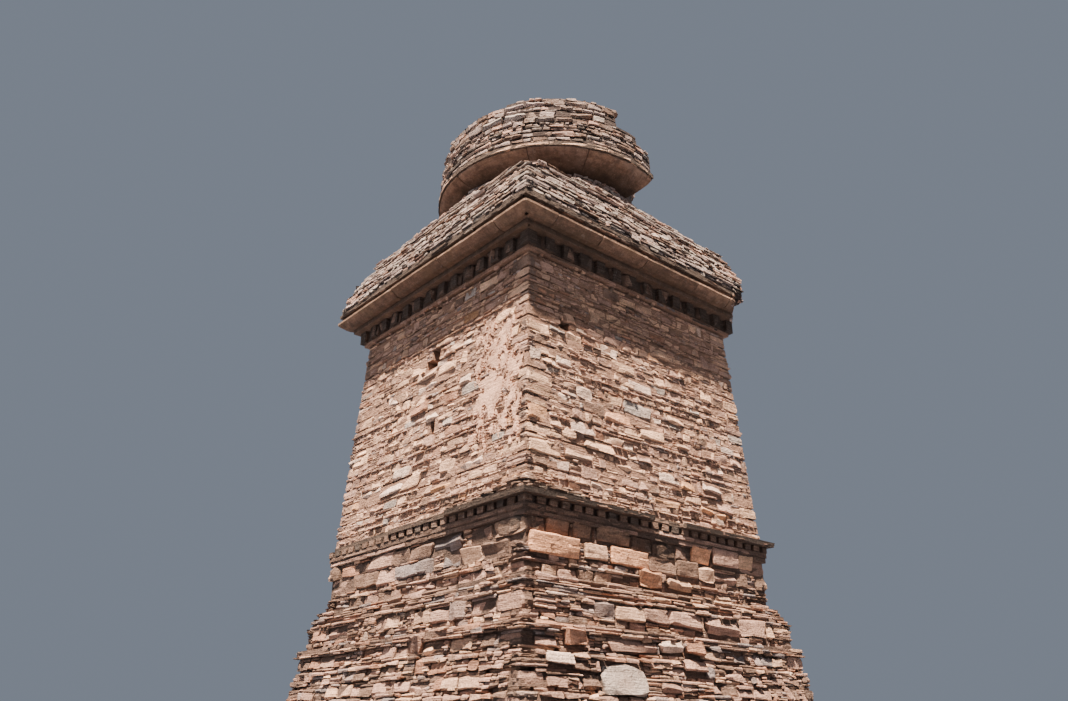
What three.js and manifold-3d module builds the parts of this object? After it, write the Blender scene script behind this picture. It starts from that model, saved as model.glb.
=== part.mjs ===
// Ruined square stupa of coursed stone: podium, plinth, tall body, stone roof and a broken round drum.
// Millimetres, +Z up. The origin is the centre of the base on the ground.
// The front faces -Y, the left side -X, and each side piece is drawn as a front piece and turned.
import * as THREE from 'three';
import { mergeVertices } from 'three/addons/utils/BufferGeometryUtils.js';
import Module from 'manifold-3d';

const wasm = await Module();
wasm.setup();

// Driving dimensions
const bodyHalf = 2480; // half the body's width at its foot
const bodyBatter = 197; // how far each body face leans in over its height
const joint = 0.3; // open joint between two pieces
const reach = 4000; // longer than any half width, for cutting

const podiumHeight = 1830;
const plinthWallHeight = 1105;
const dentilHeight = 95;
const corniceHeight = 70;
const bodyHeight = 3780;
const bracketCourseHeight = 220;
const eavesHeight = 220;
const coverHeight = 240;
const roofSlopeHeight = 940;
const upperRoofHeight = 790;
const domeFootHeight = 270;
const domeLedgeHeight = 80;
const domeHeight = 1070;

const plinthBase = podiumHeight;
const dentilBase = plinthBase + plinthWallHeight;
const corniceBase = dentilBase + dentilHeight;
const bodyBase = corniceBase + corniceHeight;
const bracketBase = bodyBase + bodyHeight;
const eavesBase = bracketBase + bracketCourseHeight;
const coverBase = eavesBase + eavesHeight;
const roofBase = coverBase + coverHeight;
const upperRoofBase = roofBase + roofSlopeHeight;
const domeFootBase = upperRoofBase + upperRoofHeight;
const domeLedgeBase = domeFootBase + domeFootHeight;
const domeBase = domeLedgeBase + domeLedgeHeight;

// Toothed courses: half widths of the teeth and of the strip behind them
const dentils = { half: bodyHalf + 70, back: bodyHalf + 25, tooth: 122, count: 23, cornerCount: 3 };
const brackets = { half: bodyHalf - 60, back: bodyHalf - 130, tooth: 175, count: 13, cornerCount: 2 };

// Coursed faces: heights that repeat, and the set-back line of thin stones that ends each course
const bodyCourses = { heights: [150, 230, 180, 260], sliver: 34, recess: 26 };
const podiumCourses = { heights: [250, 180, 300, 220], sliver: 45, recess: 45 };
const drumCourses = { heights: [170, 120, 200, 140], sliver: 32, recess: 32 };

// Side pieces end on these inner planes, where the rubble core begins
const baseInner = innerPlane(dentils);
const bodyInner = innerPlane(brackets);

// Dome: its centre has shifted towards the front right corner
const domeShift = new THREE.Vector2(122, -104);
const domeNeckRadius = 1600;
const domeLedgeRadius = 2215;
const domeRadius = 2165;
const domeTopRadius = 2050;
const domeCoreRadius = 1350;
const domeSegments = 48;

// Corners that are lost, by the side whose left end they are: what is left along the diagonal
const cornerLosses = {
  front: { roofEdge: 3170 },
  right: { eaves: 3420, covers: 3440, roof: 3620 },
  back: { roofEdge: 3200 },
  left: { roofEdge: 3180 },
};

// Stretches of the drum's top edge that are lost: from, to in degrees from the right, and depth
const topLosses = [
  [-98, -84, 420], [-85, -60, 640], [-61, 13, 640], [12, 46, 330], [45, 76, 190], [75, 128, 90], [150, 205, 60],
];

// Stretches of the plinth cornice that are broken back: from, to, half width that is left
const corniceLosses = {
  front: [[-200, 480, bodyHalf + 70]],
  left: [[-2700, -1900, bodyHalf + 10], [-1900, -700, bodyHalf + 45], [-700, 900, bodyHalf + 90]],
};

// Holes where stones have dropped out of the body's face: from, to, and the heights above its foot
const missingStones = {
  front: [[-1730, -1530, 2590, 2760]],
  left: [[-80, 140, 2700, 2920], [-230, 130, 2550, 2720], [-80, 50, 3570, 3690], [60, 180, 1370, 1600]],
};
const holeBack = bodyHalf - 400;

const stone = (color, roughness = 0.95) => new THREE.MeshStandardMaterial({ color, roughness, metalness: 0 });
const materials = {
  podium: stone('#8d7567'),
  plinth: stone('#94796a'),
  slab: stone('#7d6253'),
  body: stone('#b08a75'),
  eaves: stone('#74533f'),
  roof: stone('#8a7a70'),
  dome: stone('#8f7a6d'),
  core: stone('#7f6d61'),
};

function pitch({ half, tooth, count }) {
  return (2 * half - tooth) / count;
}

// A side piece stops in the middle of the gap after its neighbour's corner teeth
function innerPlane(course) {
  const step = pitch(course);
  return course.half - (course.cornerCount - 1) * step - (course.tooth + step) / 2;
}

// Closed geometry to a solid, and back
function solid(geometry) {
  const bare = geometry.clone();
  bare.deleteAttribute('normal');
  bare.deleteAttribute('uv');
  const merged = mergeVertices(bare.index ? bare.toNonIndexed() : bare, 0.01);
  return new wasm.Manifold(new wasm.Mesh({
    numProp: 3,
    vertProperties: new Float32Array(merged.attributes.position.array),
    triVerts: new Uint32Array(merged.index.array),
  }));
}

function geometryOf(manifold) {
  const { vertProperties, triVerts } = manifold.getMesh();
  const geometry = new THREE.BufferGeometry();
  geometry.setAttribute('position', new THREE.BufferAttribute(vertProperties, 3));
  geometry.setIndex(new THREE.BufferAttribute(triVerts, 1));
  geometry.computeVertexNormals();
  return geometry;
}

function extruded(points, depth) {
  const shape = new THREE.Shape(points.map(([x, y]) => new THREE.Vector2(x, y)));
  return new THREE.ExtrudeGeometry(shape, { depth, bevelEnabled: false });
}

// Prisms with an outline in (y, z), (x, z) or (x, y)
function prismAlongX(outline, from, to) {
  const axes = new THREE.Matrix4().makeBasis(
    new THREE.Vector3(0, 1, 0), new THREE.Vector3(0, 0, 1), new THREE.Vector3(1, 0, 0));
  return solid(extruded(outline, to - from).applyMatrix4(axes).translate(from, 0, 0));
}

function prismAlongY(outline, from, to) {
  const axes = new THREE.Matrix4().makeBasis(
    new THREE.Vector3(1, 0, 0), new THREE.Vector3(0, 0, 1), new THREE.Vector3(0, -1, 0));
  return solid(extruded(outline, to - from).applyMatrix4(axes).translate(0, to, 0));
}

function prismUp(outline, from, to) {
  return solid(extruded(outline, to - from).translate(0, 0, from));
}

function block(x0, x1, y0, y1, z0, z1) {
  const geometry = new THREE.BoxGeometry(x1 - x0, y1 - y0, z1 - z0);
  return solid(geometry.translate((x0 + x1) / 2, (y0 + y1) / 2, (z0 + z1) / 2));
}

// The profile of a face laid in courses, from its foot up; faceAt gives where it stands at a height
function coursedFace({ heights, sliver, recess }, foot, top, faceAt) {
  const cycle = heights.reduce((sum, height) => sum + height);
  const count = Math.round(((top - foot) / cycle) * heights.length);
  const chosen = Array.from({ length: count }, (_, i) => heights[i % heights.length]);
  const fit = (top - foot) / chosen.reduce((sum, height) => sum + height);
  const profile = [];
  let z = foot;
  for (const height of chosen.slice(0, -1)) {
    const next = z + fit * height;
    const line = next - sliver;
    profile.push([faceAt(z), z], [faceAt(line), line]);
    profile.push([faceAt(line) - recess, line], [faceAt(next) - recess, next]);
    z = next;
  }
  profile.push([faceAt(z), z], [faceAt(top), top]);
  return profile;
}

// A face that leans in evenly between two heights
function leaning(foot, top, footHalf, topHalf) {
  return (z) => THREE.MathUtils.mapLinear(z, foot, top, footHalf, topHalf);
}

// A course of the front: the profile lists half width and height from its foot up.
// It runs from the left corner, which it forms, to the inner plane of the next side.
function sideCourse(profile, inner) {
  const foot = profile[0][1];
  const top = profile[profile.length - 1][1];
  const outline = [[inner, foot], ...profile, [inner, top]].map(([half, z]) => [-half, z]);
  const cornerOutline = [[-reach, foot], ...profile, [-reach, top]].map(([half, z]) => [-half, z]);
  const face = prismAlongX(outline, -reach, inner - joint);
  return face.intersect(prismAlongY(cornerOutline, -reach, reach));
}

// A course of teeth in front of a plain strip, going round the left corner
function toothedCourse(course, inner, foot, top) {
  const { half, back, tooth, count, cornerCount } = course;
  const step = pitch(course);
  const plan = [[-back, -inner]];
  for (let i = cornerCount - 1; i > 0; i -= 1) {
    const start = -half + i * step;
    plan.push([-back, start + tooth], [-half, start + tooth], [-half, start], [-back, start]);
  }
  plan.push([-back, -half + tooth], [-half, -half + tooth], [-half, -half]);
  plan.push([-half + tooth, -half], [-half + tooth, -back]);
  for (let i = 1; i <= count - cornerCount; i += 1) {
    const start = -half + i * step;
    plan.push([start, -back], [start, -half], [start + tooth, -half], [start + tooth, -back]);
  }
  plan.push([inner - joint, -back], [inner - joint, -inner]);
  return prismUp(plan, foot, top);
}

// Cuts a lost left corner off a front piece, square to its diagonal
function weathered(piece, side, tier, foot, top) {
  const distance = cornerLosses[side][tier];
  if (!distance) return piece;
  const edge = distance * Math.SQRT2;
  const waste = [[reach - edge, -reach], [-reach, reach - edge], [-2 * reach, -reach], [-reach, -2 * reach]];
  return piece.subtract(prismUp(waste, foot - 1, top + 1));
}

// Rubble core behind the side pieces
function rubbleCore(inner, foot, top) {
  const half = inner - joint;
  return block(-half, half, -half, half, foot, top - joint);
}

// Podium and plinth
function podiumWall() {
  const ledgeFoot = podiumHeight - 490;
  const ledgeTop = podiumHeight - 370;
  const face = leaning(0, ledgeFoot, bodyHalf + 520, bodyHalf + 280);
  return sideCourse([
    ...coursedFace(podiumCourses, 0, ledgeFoot, face),
    [bodyHalf + 330, ledgeFoot],
    [bodyHalf + 330, ledgeTop],
    [bodyHalf + 220, ledgeTop],
    [bodyHalf + 200, plinthBase - joint],
  ], baseInner);
}

function plinthWall() {
  const slabRise = 110;
  const wallFoot = plinthBase + 2 * slabRise;
  const filletFoot = dentilBase - 155;
  return sideCourse([
    [bodyHalf + 175, plinthBase],
    [bodyHalf + 175, plinthBase + slabRise],
    [bodyHalf + 120, plinthBase + slabRise],
    [bodyHalf + 120, wallFoot],
    [bodyHalf, wallFoot],
    [bodyHalf, filletFoot],
    [bodyHalf + 45, filletFoot],
    [bodyHalf + 45, (filletFoot + dentilBase) / 2],
    [bodyHalf + 60, (filletFoot + dentilBase) / 2],
    [bodyHalf + 60, dentilBase - joint],
  ], baseInner);
}

function plinthDentils() {
  return toothedCourse(dentils, baseInner, dentilBase, corniceBase - joint);
}

function plinthCornice(side) {
  const nose = bodyHalf + 170;
  const whole = sideCourse([[nose - 15, corniceBase], [nose, bodyBase - joint]], baseInner);
  const losses = corniceLosses[side] ?? [];
  return losses.reduce((piece, [from, to, left]) => {
    const lost = block(from, to, -reach, -left, corniceBase - 1, bodyBase + 1);
    return piece.subtract(lost);
  }, cutEnd(whole, side));
}

// The left end of the broken cornice is also lost where it turns the corner
function cutEnd(piece, side) {
  if (side !== 'left') return piece;
  return piece.subtract(block(-reach, -bodyHalf - 10, -reach, reach, corniceBase - 1, bodyBase + 1));
}

// Body
function bodyWall(side) {
  const ledge = bodyHalf - 120;
  const ledgeFoot = bracketBase - 65;
  const face = leaning(bodyBase, ledgeFoot, bodyHalf, bodyHalf - bodyBatter);
  const whole = sideCourse([
    ...coursedFace(bodyCourses, bodyBase, ledgeFoot, face),
    [ledge, ledgeFoot],
    [ledge, bracketBase - joint],
  ], bodyInner);
  const holes = missingStones[side] ?? [];
  return holes.reduce((piece, [from, to, low, high]) => {
    const hole = block(from, to, -reach, -holeBack, bodyBase + low, bodyBase + high);
    return piece.subtract(hole);
  }, whole);
}

// Eaves and roof
function eavesBrackets() {
  return toothedCourse(brackets, bodyInner, bracketBase, eavesBase - joint);
}

function eavesCove(side) {
  const coveFoot = eavesBase + 100;
  const piece = sideCourse([
    [bodyHalf + 40, eavesBase],
    [bodyHalf + 40, coveFoot],
    [bodyHalf + 120, coveFoot],
    [bodyHalf + 267, coverBase - 25],
    [bodyHalf + 267, coverBase - joint],
  ], bodyInner);
  return weathered(piece, side, 'eaves', eavesBase, coverBase);
}

function coverSlabs(side) {
  const slabFoot = coverBase + 110;
  const slabTop = coverBase + 165;
  const piece = sideCourse([
    [bodyHalf + 190, coverBase],
    [bodyHalf + 190, slabFoot],
    [bodyHalf + 250, slabFoot],
    [bodyHalf + 250, slabTop],
    [bodyHalf + 225, slabTop],
    [bodyHalf + 225, roofBase - joint],
  ], bodyInner);
  return weathered(piece, side, 'covers', coverBase, roofBase);
}

function roofSlope(side) {
  const topCourse = upperRoofBase - 190;
  const piece = sideCourse([
    [bodyHalf + 205, roofBase],
    [bodyHalf + 150, roofBase + 240],
    [bodyHalf + 40, roofBase + 490],
    [bodyHalf - 95, topCourse],
    [bodyHalf - 55, topCourse],
    [bodyHalf - 140, upperRoofBase - joint],
  ], bodyInner);
  const slope = weathered(piece, side, 'roof', roofBase, topCourse);
  return weathered(slope, side, 'roofEdge', topCourse, upperRoofBase);
}

// Upper roof: stepped courses whose plan goes from nearly square to round
function upperRoof() {
  const courses = 8;
  const rise = upperRoofHeight / courses;
  const points = 48;
  let stack = null;
  for (let i = 0; i < courses; i += 1) {
    const t = i / (courses - 1);
    const half = THREE.MathUtils.lerp(bodyHalf - 180, domeNeckRadius + 180, t ** 0.8);
    const squareness = THREE.MathUtils.lerp(5, 2, Math.min(1, 1.6 * t));
    const plan = roundedPlan(half, squareness, points);
    const foot = upperRoofBase + i * rise;
    const course = prismUp(plan, foot, i < courses - 1 ? foot + rise : foot + rise - joint);
    stack = stack ? stack.add(course) : course;
  }
  return stack;
}

function roundedPlan(half, squareness, points) {
  const plan = [];
  for (let i = 0; i < points; i += 1) {
    const angle = (2 * Math.PI * i) / points;
    const c = Math.cos(angle);
    const s = Math.sin(angle);
    const size = (Math.abs(c) ** squareness + Math.abs(s) ** squareness) ** (-1 / squareness);
    plan.push([half * size * c, half * size * s]);
  }
  return plan;
}

// Dome: turned pieces round its own centre
function turned(profile) {
  const points = profile.map(([radius, z]) => new THREE.Vector2(radius, z));
  return solid(new THREE.LatheGeometry(points, domeSegments).rotateX(Math.PI / 2));
}

function annulus(outer, inner) {
  const foot = outer[0][1];
  const top = outer[outer.length - 1][1];
  return turned([[inner, foot], ...outer, [inner, top], [inner, foot]]);
}

// The sector of the dome towards the front right corner has fallen
function fallenSector() {
  const plan = [
    [390, -1570], [900, -1300], [1250, -950], [1480, -480], [1500, 0], [1750, 420],
    [2500, 700], [3400, 0], [3000, -2400], [950, -3000],
  ];
  return prismUp(plan, domeFootBase + 60, domeBase + domeHeight + 10);
}

function domeCove() {
  const neckTop = domeFootBase + 70;
  const whole = turned([
    [0, domeFootBase],
    [domeNeckRadius, domeFootBase],
    [domeNeckRadius, neckTop],
    [domeNeckRadius + 240, neckTop + 40],
    [domeLedgeRadius - 120, domeLedgeBase - 70],
    [domeLedgeRadius - 40, domeLedgeBase - joint],
    [0, domeLedgeBase - joint],
  ]);
  return whole.subtract(fallenSector());
}

function domeLedge() {
  const whole = annulus([
    [domeLedgeRadius, domeLedgeBase],
    [domeLedgeRadius, domeBase - joint],
  ], domeCoreRadius + joint);
  return whole.subtract(fallenSector());
}

// The drum curves in towards its top, and its top edge has lost stones
function domeMasonry() {
  const top = domeBase + domeHeight;
  const face = (z) => domeRadius - (domeRadius - domeTopRadius) * ((z - domeBase) / domeHeight) ** 2.2;
  const whole = annulus(coursedFace(drumCourses, domeBase, top, face), domeCoreRadius + joint);
  return topLosses.reduce(
    (masonry, [from, to, depth]) => masonry.subtract(topNotch(from, to, depth)),
    whole.subtract(fallenSector()));
}

function topNotch(from, to, depth) {
  const far = 1.5 * domeRadius;
  const rim = [from, (from + to) / 2, to]
    .map(THREE.MathUtils.degToRad)
    .map((angle) => [far * Math.cos(angle), far * Math.sin(angle)]);
  const plan = [[0, 0], ...rim];
  const top = domeBase + domeHeight;
  return prismUp(plan, top - depth, top + 10);
}

function domeCore() {
  const top = domeBase + domeHeight - 230;
  return turned([
    [0, domeLedgeBase],
    [domeCoreRadius, domeLedgeBase],
    [domeCoreRadius, top - 80],
    [0.6 * domeCoreRadius, top],
    [0, top],
  ]);
}

// Assembly
const stupa = new THREE.Group();

function add(parent, name, manifold, material) {
  const mesh = new THREE.Mesh(geometryOf(manifold), material);
  mesh.name = name;
  parent.add(mesh);
}

const sides = ['front', 'right', 'back', 'left'];
sides.forEach((side, quarter) => {
  const group = new THREE.Group();
  group.rotation.z = (quarter * Math.PI) / 2;
  add(group, `podium_wall_${side}`, podiumWall(), materials.podium);
  add(group, `plinth_wall_${side}`, plinthWall(), materials.plinth);
  add(group, `plinth_dentils_${side}`, plinthDentils(), materials.slab);
  add(group, `plinth_cornice_${side}`, plinthCornice(side), materials.slab);
  add(group, `body_wall_${side}`, bodyWall(side), materials.body);
  add(group, `eaves_brackets_${side}`, eavesBrackets(), materials.eaves);
  add(group, `eaves_cove_${side}`, eavesCove(side), materials.eaves);
  add(group, `roof_cover_slabs_${side}`, coverSlabs(side), materials.slab);
  add(group, `roof_slope_${side}`, roofSlope(side), materials.roof);
  stupa.add(group);
});

const dome = new THREE.Group();
dome.position.set(domeShift.x, domeShift.y, 0);
add(dome, 'dome_foot_cove', domeCove(), materials.eaves);
add(dome, 'dome_ledge_ring', domeLedge(), materials.slab);
add(dome, 'dome_masonry', domeMasonry(), materials.dome);
add(dome, 'dome_rubble_core', domeCore(), materials.core);

add(stupa, 'upper_roof', upperRoof(), materials.roof);
add(stupa, 'base_rubble_core', rubbleCore(baseInner, 0, bodyBase), materials.core);
add(stupa, 'body_rubble_core', rubbleCore(bodyInner, bodyBase, upperRoofBase), materials.core);
stupa.add(dome);

export default stupa;
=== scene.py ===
"""Ruined stone stupa: the stones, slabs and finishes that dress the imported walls, in metres."""

import math

import bmesh
import bpy
import numpy as np
from mathutils import Matrix, Vector, noise
from mathutils.bvhtree import BVHTree


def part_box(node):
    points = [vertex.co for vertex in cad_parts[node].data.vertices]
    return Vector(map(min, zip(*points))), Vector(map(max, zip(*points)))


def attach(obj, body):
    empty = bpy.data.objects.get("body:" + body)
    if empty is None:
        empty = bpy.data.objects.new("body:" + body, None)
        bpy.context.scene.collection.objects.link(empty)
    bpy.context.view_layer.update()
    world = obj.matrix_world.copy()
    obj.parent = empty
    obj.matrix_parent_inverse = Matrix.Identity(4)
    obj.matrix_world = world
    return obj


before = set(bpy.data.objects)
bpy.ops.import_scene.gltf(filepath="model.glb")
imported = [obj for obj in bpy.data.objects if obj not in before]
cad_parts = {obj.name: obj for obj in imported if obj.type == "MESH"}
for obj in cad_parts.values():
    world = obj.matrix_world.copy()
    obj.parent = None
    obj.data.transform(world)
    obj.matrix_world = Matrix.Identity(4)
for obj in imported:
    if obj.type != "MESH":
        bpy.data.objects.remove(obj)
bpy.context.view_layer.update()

# The photograph's frame in pixels, for the camera and for the stones that are placed one by one
PHOTO_WIDTH = 1068
PHOTO_HEIGHT = 701
SENSOR = 36.0
LENS = 29.154

SIDES = ("front", "right", "back", "left")
FAR = 8.0  # well outside the walls, where the feeling rays start


def foot_and_top(piece):
    """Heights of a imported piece's foot and top."""
    low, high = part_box(piece)
    return low.z, high.z


PODIUM_FOOT, PODIUM_TOP = foot_and_top("podium_wall_front")
PLINTH_FOOT = foot_and_top("plinth_wall_front")[0]
DENTIL_FOOT, DENTIL_TOP = foot_and_top("plinth_dentils_front")
CORNICE_FOOT, CORNICE_TOP = foot_and_top("plinth_cornice_front")
BODY_FOOT, BODY_TOP = foot_and_top("body_wall_front")
BRACKET_FOOT, BRACKET_TOP = foot_and_top("eaves_brackets_front")
COVE_FOOT = foot_and_top("eaves_cove_front")[0]
COVER_FOOT = foot_and_top("roof_cover_slabs_front")[0]
ROOF_FOOT, ROOF_TOP = foot_and_top("roof_slope_front")
UPPER_FOOT, UPPER_TOP = foot_and_top("upper_roof")
NECK_FOOT = foot_and_top("dome_foot_cove")[0]
LEDGE_FOOT = foot_and_top("dome_ledge_ring")[0]
DRUM_FOOT, DRUM_TOP = foot_and_top("dome_masonry")

BODY_HALF = 2.48  # half the body's width at its foot
BODY_LEDGE = 0.065  # thin slab course that ends the body's face
DOME_CENTRE = (0.122, -0.104)
LEDGE_RADIUS = 2.215


def linear(code):
    """A colour written as sRGB hex, as the shaders want it."""
    parts = [int(code[i : i + 2], 16) / 255 for i in (1, 3, 5)]
    return [p / 12.92 if p <= 0.04045 else ((p + 0.055) / 1.055) ** 2.4 for p in parts]


# Stone colours, dry and in even light
STONE = {
    "rose": linear("#b58c78"),
    "sand": linear("#d1a486"),
    "cream": linear("#eab894"),
    "chalk": linear("#e2bfa8"),
    "peach": linear("#e2a27a"),
    "clay": linear("#ab7a60"),
    "amber": linear("#cc946a"),
    "umber": linear("#7d6151"),
    "ash": linear("#91807a"),
    "mauve": linear("#a1897f"),
    "pebble": linear("#a9978b"),
    "cocoa": linear("#8c6c58"),
    "soot": linear("#56483f"),
}

# What share of each colour a kind of stonework has
BODY_STONES = {
    "rose": 33, "sand": 28, "cream": 17, "umber": 8, "clay": 8, "chalk": 3, "pebble": 4, "amber": 2,
}
BODY_CHIPS = {"rose": 46, "sand": 28, "umber": 12, "clay": 8, "mauve": 6}
ROOF_STONES = {"mauve": 52, "rose": 11, "umber": 10, "pebble": 25, "soot": 2}
DRUM_STONES = {"mauve": 38, "rose": 16, "umber": 35, "pebble": 6, "soot": 5}
PLINTH_STONES = {"sand": 14, "rose": 32, "umber": 36, "clay": 10, "ash": 8}
PODIUM_STONES = {
    "rose": 34, "umber": 26, "sand": 16, "clay": 10, "cream": 3, "mauve": 7, "ash": 3, "chalk": 2,
}
FLAT_STONES = {"rose": 34, "umber": 34, "ash": 12, "sand": 12, "clay": 8}
SLAB_STONES = {"umber": 46, "rose": 26, "ash": 14, "clay": 6, "soot": 8}
FILLET_STONES = {"umber": 75, "rose": 25}
TEETH_STONES = {"umber": 80, "soot": 20}
COVE_STONES = {"cocoa": 1}
DOME_COVE_STONES = {"umber": 40, "cocoa": 60}
COVER_STONES = {"soot": 75, "umber": 25}
BRACKET_STONES = {"umber": 75, "soot": 25}
LEDGE_RING_STONES = {"sand": 60, "cream": 40}
SHADED_STONES = {"umber": 55, "soot": 45}


def drawn_colour(mix, rng):
    """One of the mix's colours, by its weights, a little lighter or darker."""
    names = list(mix)
    weights = np.array([mix[name] for name in names], float)
    base = np.array(STONE[names[rng.choice(len(names), p=weights / weights.sum())]])
    return base * rng.uniform(0.74, 1.18)


# Stone forms: the face towards +Z with its height 1, and the tail flagged to run into the wall


def form_of(bm):
    """A bmesh as plain arrays: points, corners, face sizes."""
    bmesh.ops.recalc_face_normals(bm, faces=bm.faces)
    bm.verts.index_update()
    points = np.array([v.co for v in bm.verts])
    corners = np.array([v.index for f in bm.faces for v in f.verts])
    sizes = np.array([len(f.verts) for f in bm.faces])
    bm.free()
    return {"points": points, "corners": corners, "sizes": sizes}


def split_stone(aspect, across, up, rim, wobble, rng):
    """A stone split and set flat: an uneven face with broken edges, and sides that run back."""
    bm = bmesh.new()
    bmesh.ops.create_grid(bm, x_segments=across, y_segments=up, size=0.5)
    slant, taper, bow = rng.normal(0, 2.5 * wobble, 3)
    corner_cut = {key: rng.uniform(0.5, 3.5) * wobble for key in ((0, 0), (0, 1), (1, 0), (1, 1))}
    for v in bm.verts:
        i = round((v.co.x + 0.5) * across)
        j = round((v.co.y + 0.5) * up)
        end_x, end_y = i in (0, across), j in (0, up)
        if across > 2 and i in (1, across - 1):
            v.co.x = math.copysign(0.5 - rim / aspect, v.co.x)
        if up > 2 and j in (1, up - 1):
            v.co.y = math.copysign(0.5 - rim, v.co.y)
        if end_x and end_y:
            cut = corner_cut[i > 0, j > 0]
            v.co.x *= 1 - 2 * cut / aspect
            v.co.y *= 1 - cut
        x, y = v.co.x, v.co.y
        v.co.x = x * aspect + slant * y * 1.2 + rng.normal(0, wobble)
        v.co.y = y * (1 + taper * x * 2) + bow * (x * x - 0.1) + rng.normal(0, wobble * 0.7)
        v.co.z = rng.normal(0, 1.6 * wobble) - (rim * 0.9 if end_x or end_y else 0)
    edges = [e for e in bm.edges if e.is_boundary]
    made = bmesh.ops.extrude_edge_only(bm, edges=edges)["geom"]
    tail = [g for g in made if isinstance(g, bmesh.types.BMVert)]
    bmesh.ops.scale(bm, vec=(0.93, 0.93, 1), verts=tail)
    for v in tail:
        v.co.z = -1
    bmesh.ops.contextual_create(bm, geom=[e for e in bm.edges if e.is_boundary])
    return form_of(bm)


def corner_block(aspect, rng, cuts=3, wobble=0.026):
    """A stone that is rough on all its faces, since two or more of them show."""
    bm = bmesh.new()
    bmesh.ops.create_cube(bm, size=1)
    bmesh.ops.subdivide_edges(bm, edges=bm.edges, cuts=cuts, use_grid_fill=True)
    for v in bm.verts:
        ends = sum(abs(c) > 0.49 for c in v.co)
        v.co *= (1, 1, 0.965, 0.91)[ends]
        v.co += Vector(rng.normal(0, wobble, 3))
        v.co.x *= aspect
    form = form_of(bm)
    form["whole"] = True
    return form


def boulder(aspect, rng):
    """A river-worn block: round all over, with a few flats."""
    bm = bmesh.new()
    bmesh.ops.create_icosphere(bm, subdivisions=3, radius=0.5)
    where = rng.uniform(0, 50)
    for v in bm.verts:
        swell = 1.0 + 0.18 * noise.noise(v.co * 4 + Vector((where, 0, 0)))
        v.co = Vector([math.copysign(min(abs(c) * 1.3, 0.46), c) for c in v.co]) * swell
        v.co.x *= aspect
    form = form_of(bm)
    form["whole"] = True
    return form


# Kind, proportions, number of each, and its face's parts across and up, rim and wobble
SPLIT_FORMS = (
    ("block", (0.8, 1.2, 1.7, 2.3, 3.0), 4, (4, 3, 0.13, 0.055)),
    ("slab", (3.5, 5.0, 7.5), 3, (5, 2, 0.25, 0.07)),
    ("chip", (1.6, 2.8, 4.5, 7.0), 3, (3, 2, 0.2, 0.08)),
    ("tooth", (1.0, 1.3, 1.8), 3, (3, 3, 0.04, 0.012)),
    ("dressed", (0.9, 1.4, 2.0, 2.8), 2, (8, 6, 0.09, 0.016)),
)
FORMS = {"corner": [], "loose": []}
forms_rng = np.random.default_rng(11)
for kind, aspects, copies, shaping in SPLIT_FORMS:
    FORMS[kind] = [(a, split_stone(a, *shaping, forms_rng)) for a in aspects for _ in range(copies)]
for aspect in (1.5, 2.5, 4.0):
    for _ in range(4):
        FORMS["corner"].append((aspect, corner_block(aspect, forms_rng)))
        FORMS["loose"].append((aspect, corner_block(aspect, forms_rng, 1, 0.05)))
FORMS["boulder"] = [(a, boulder(a, forms_rng)) for a in (1.2, 1.5)]


def chosen_form(kind, aspect, rng):
    """Number of a form of that kind whose proportions come close."""
    misfit = [abs(math.log(a / aspect)) + rng.uniform(0, 0.35) for a, _ in FORMS[kind]]
    return int(np.argmin(misfit))


SPLIT_EDGE = math.radians(16)  # faces that meet at more than this show a sharp edge
TAIL_LEVEL = -0.9  # a form's points below this are its tail, which runs into the wall
ROUGH_HEIGHT = 0.22  # a higher stone's face is no rougher than this one's
STONE_STEP = 0.731  # between the pattern seeds of two stones, and of two forms
FORM_STEP = 3.17


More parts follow.
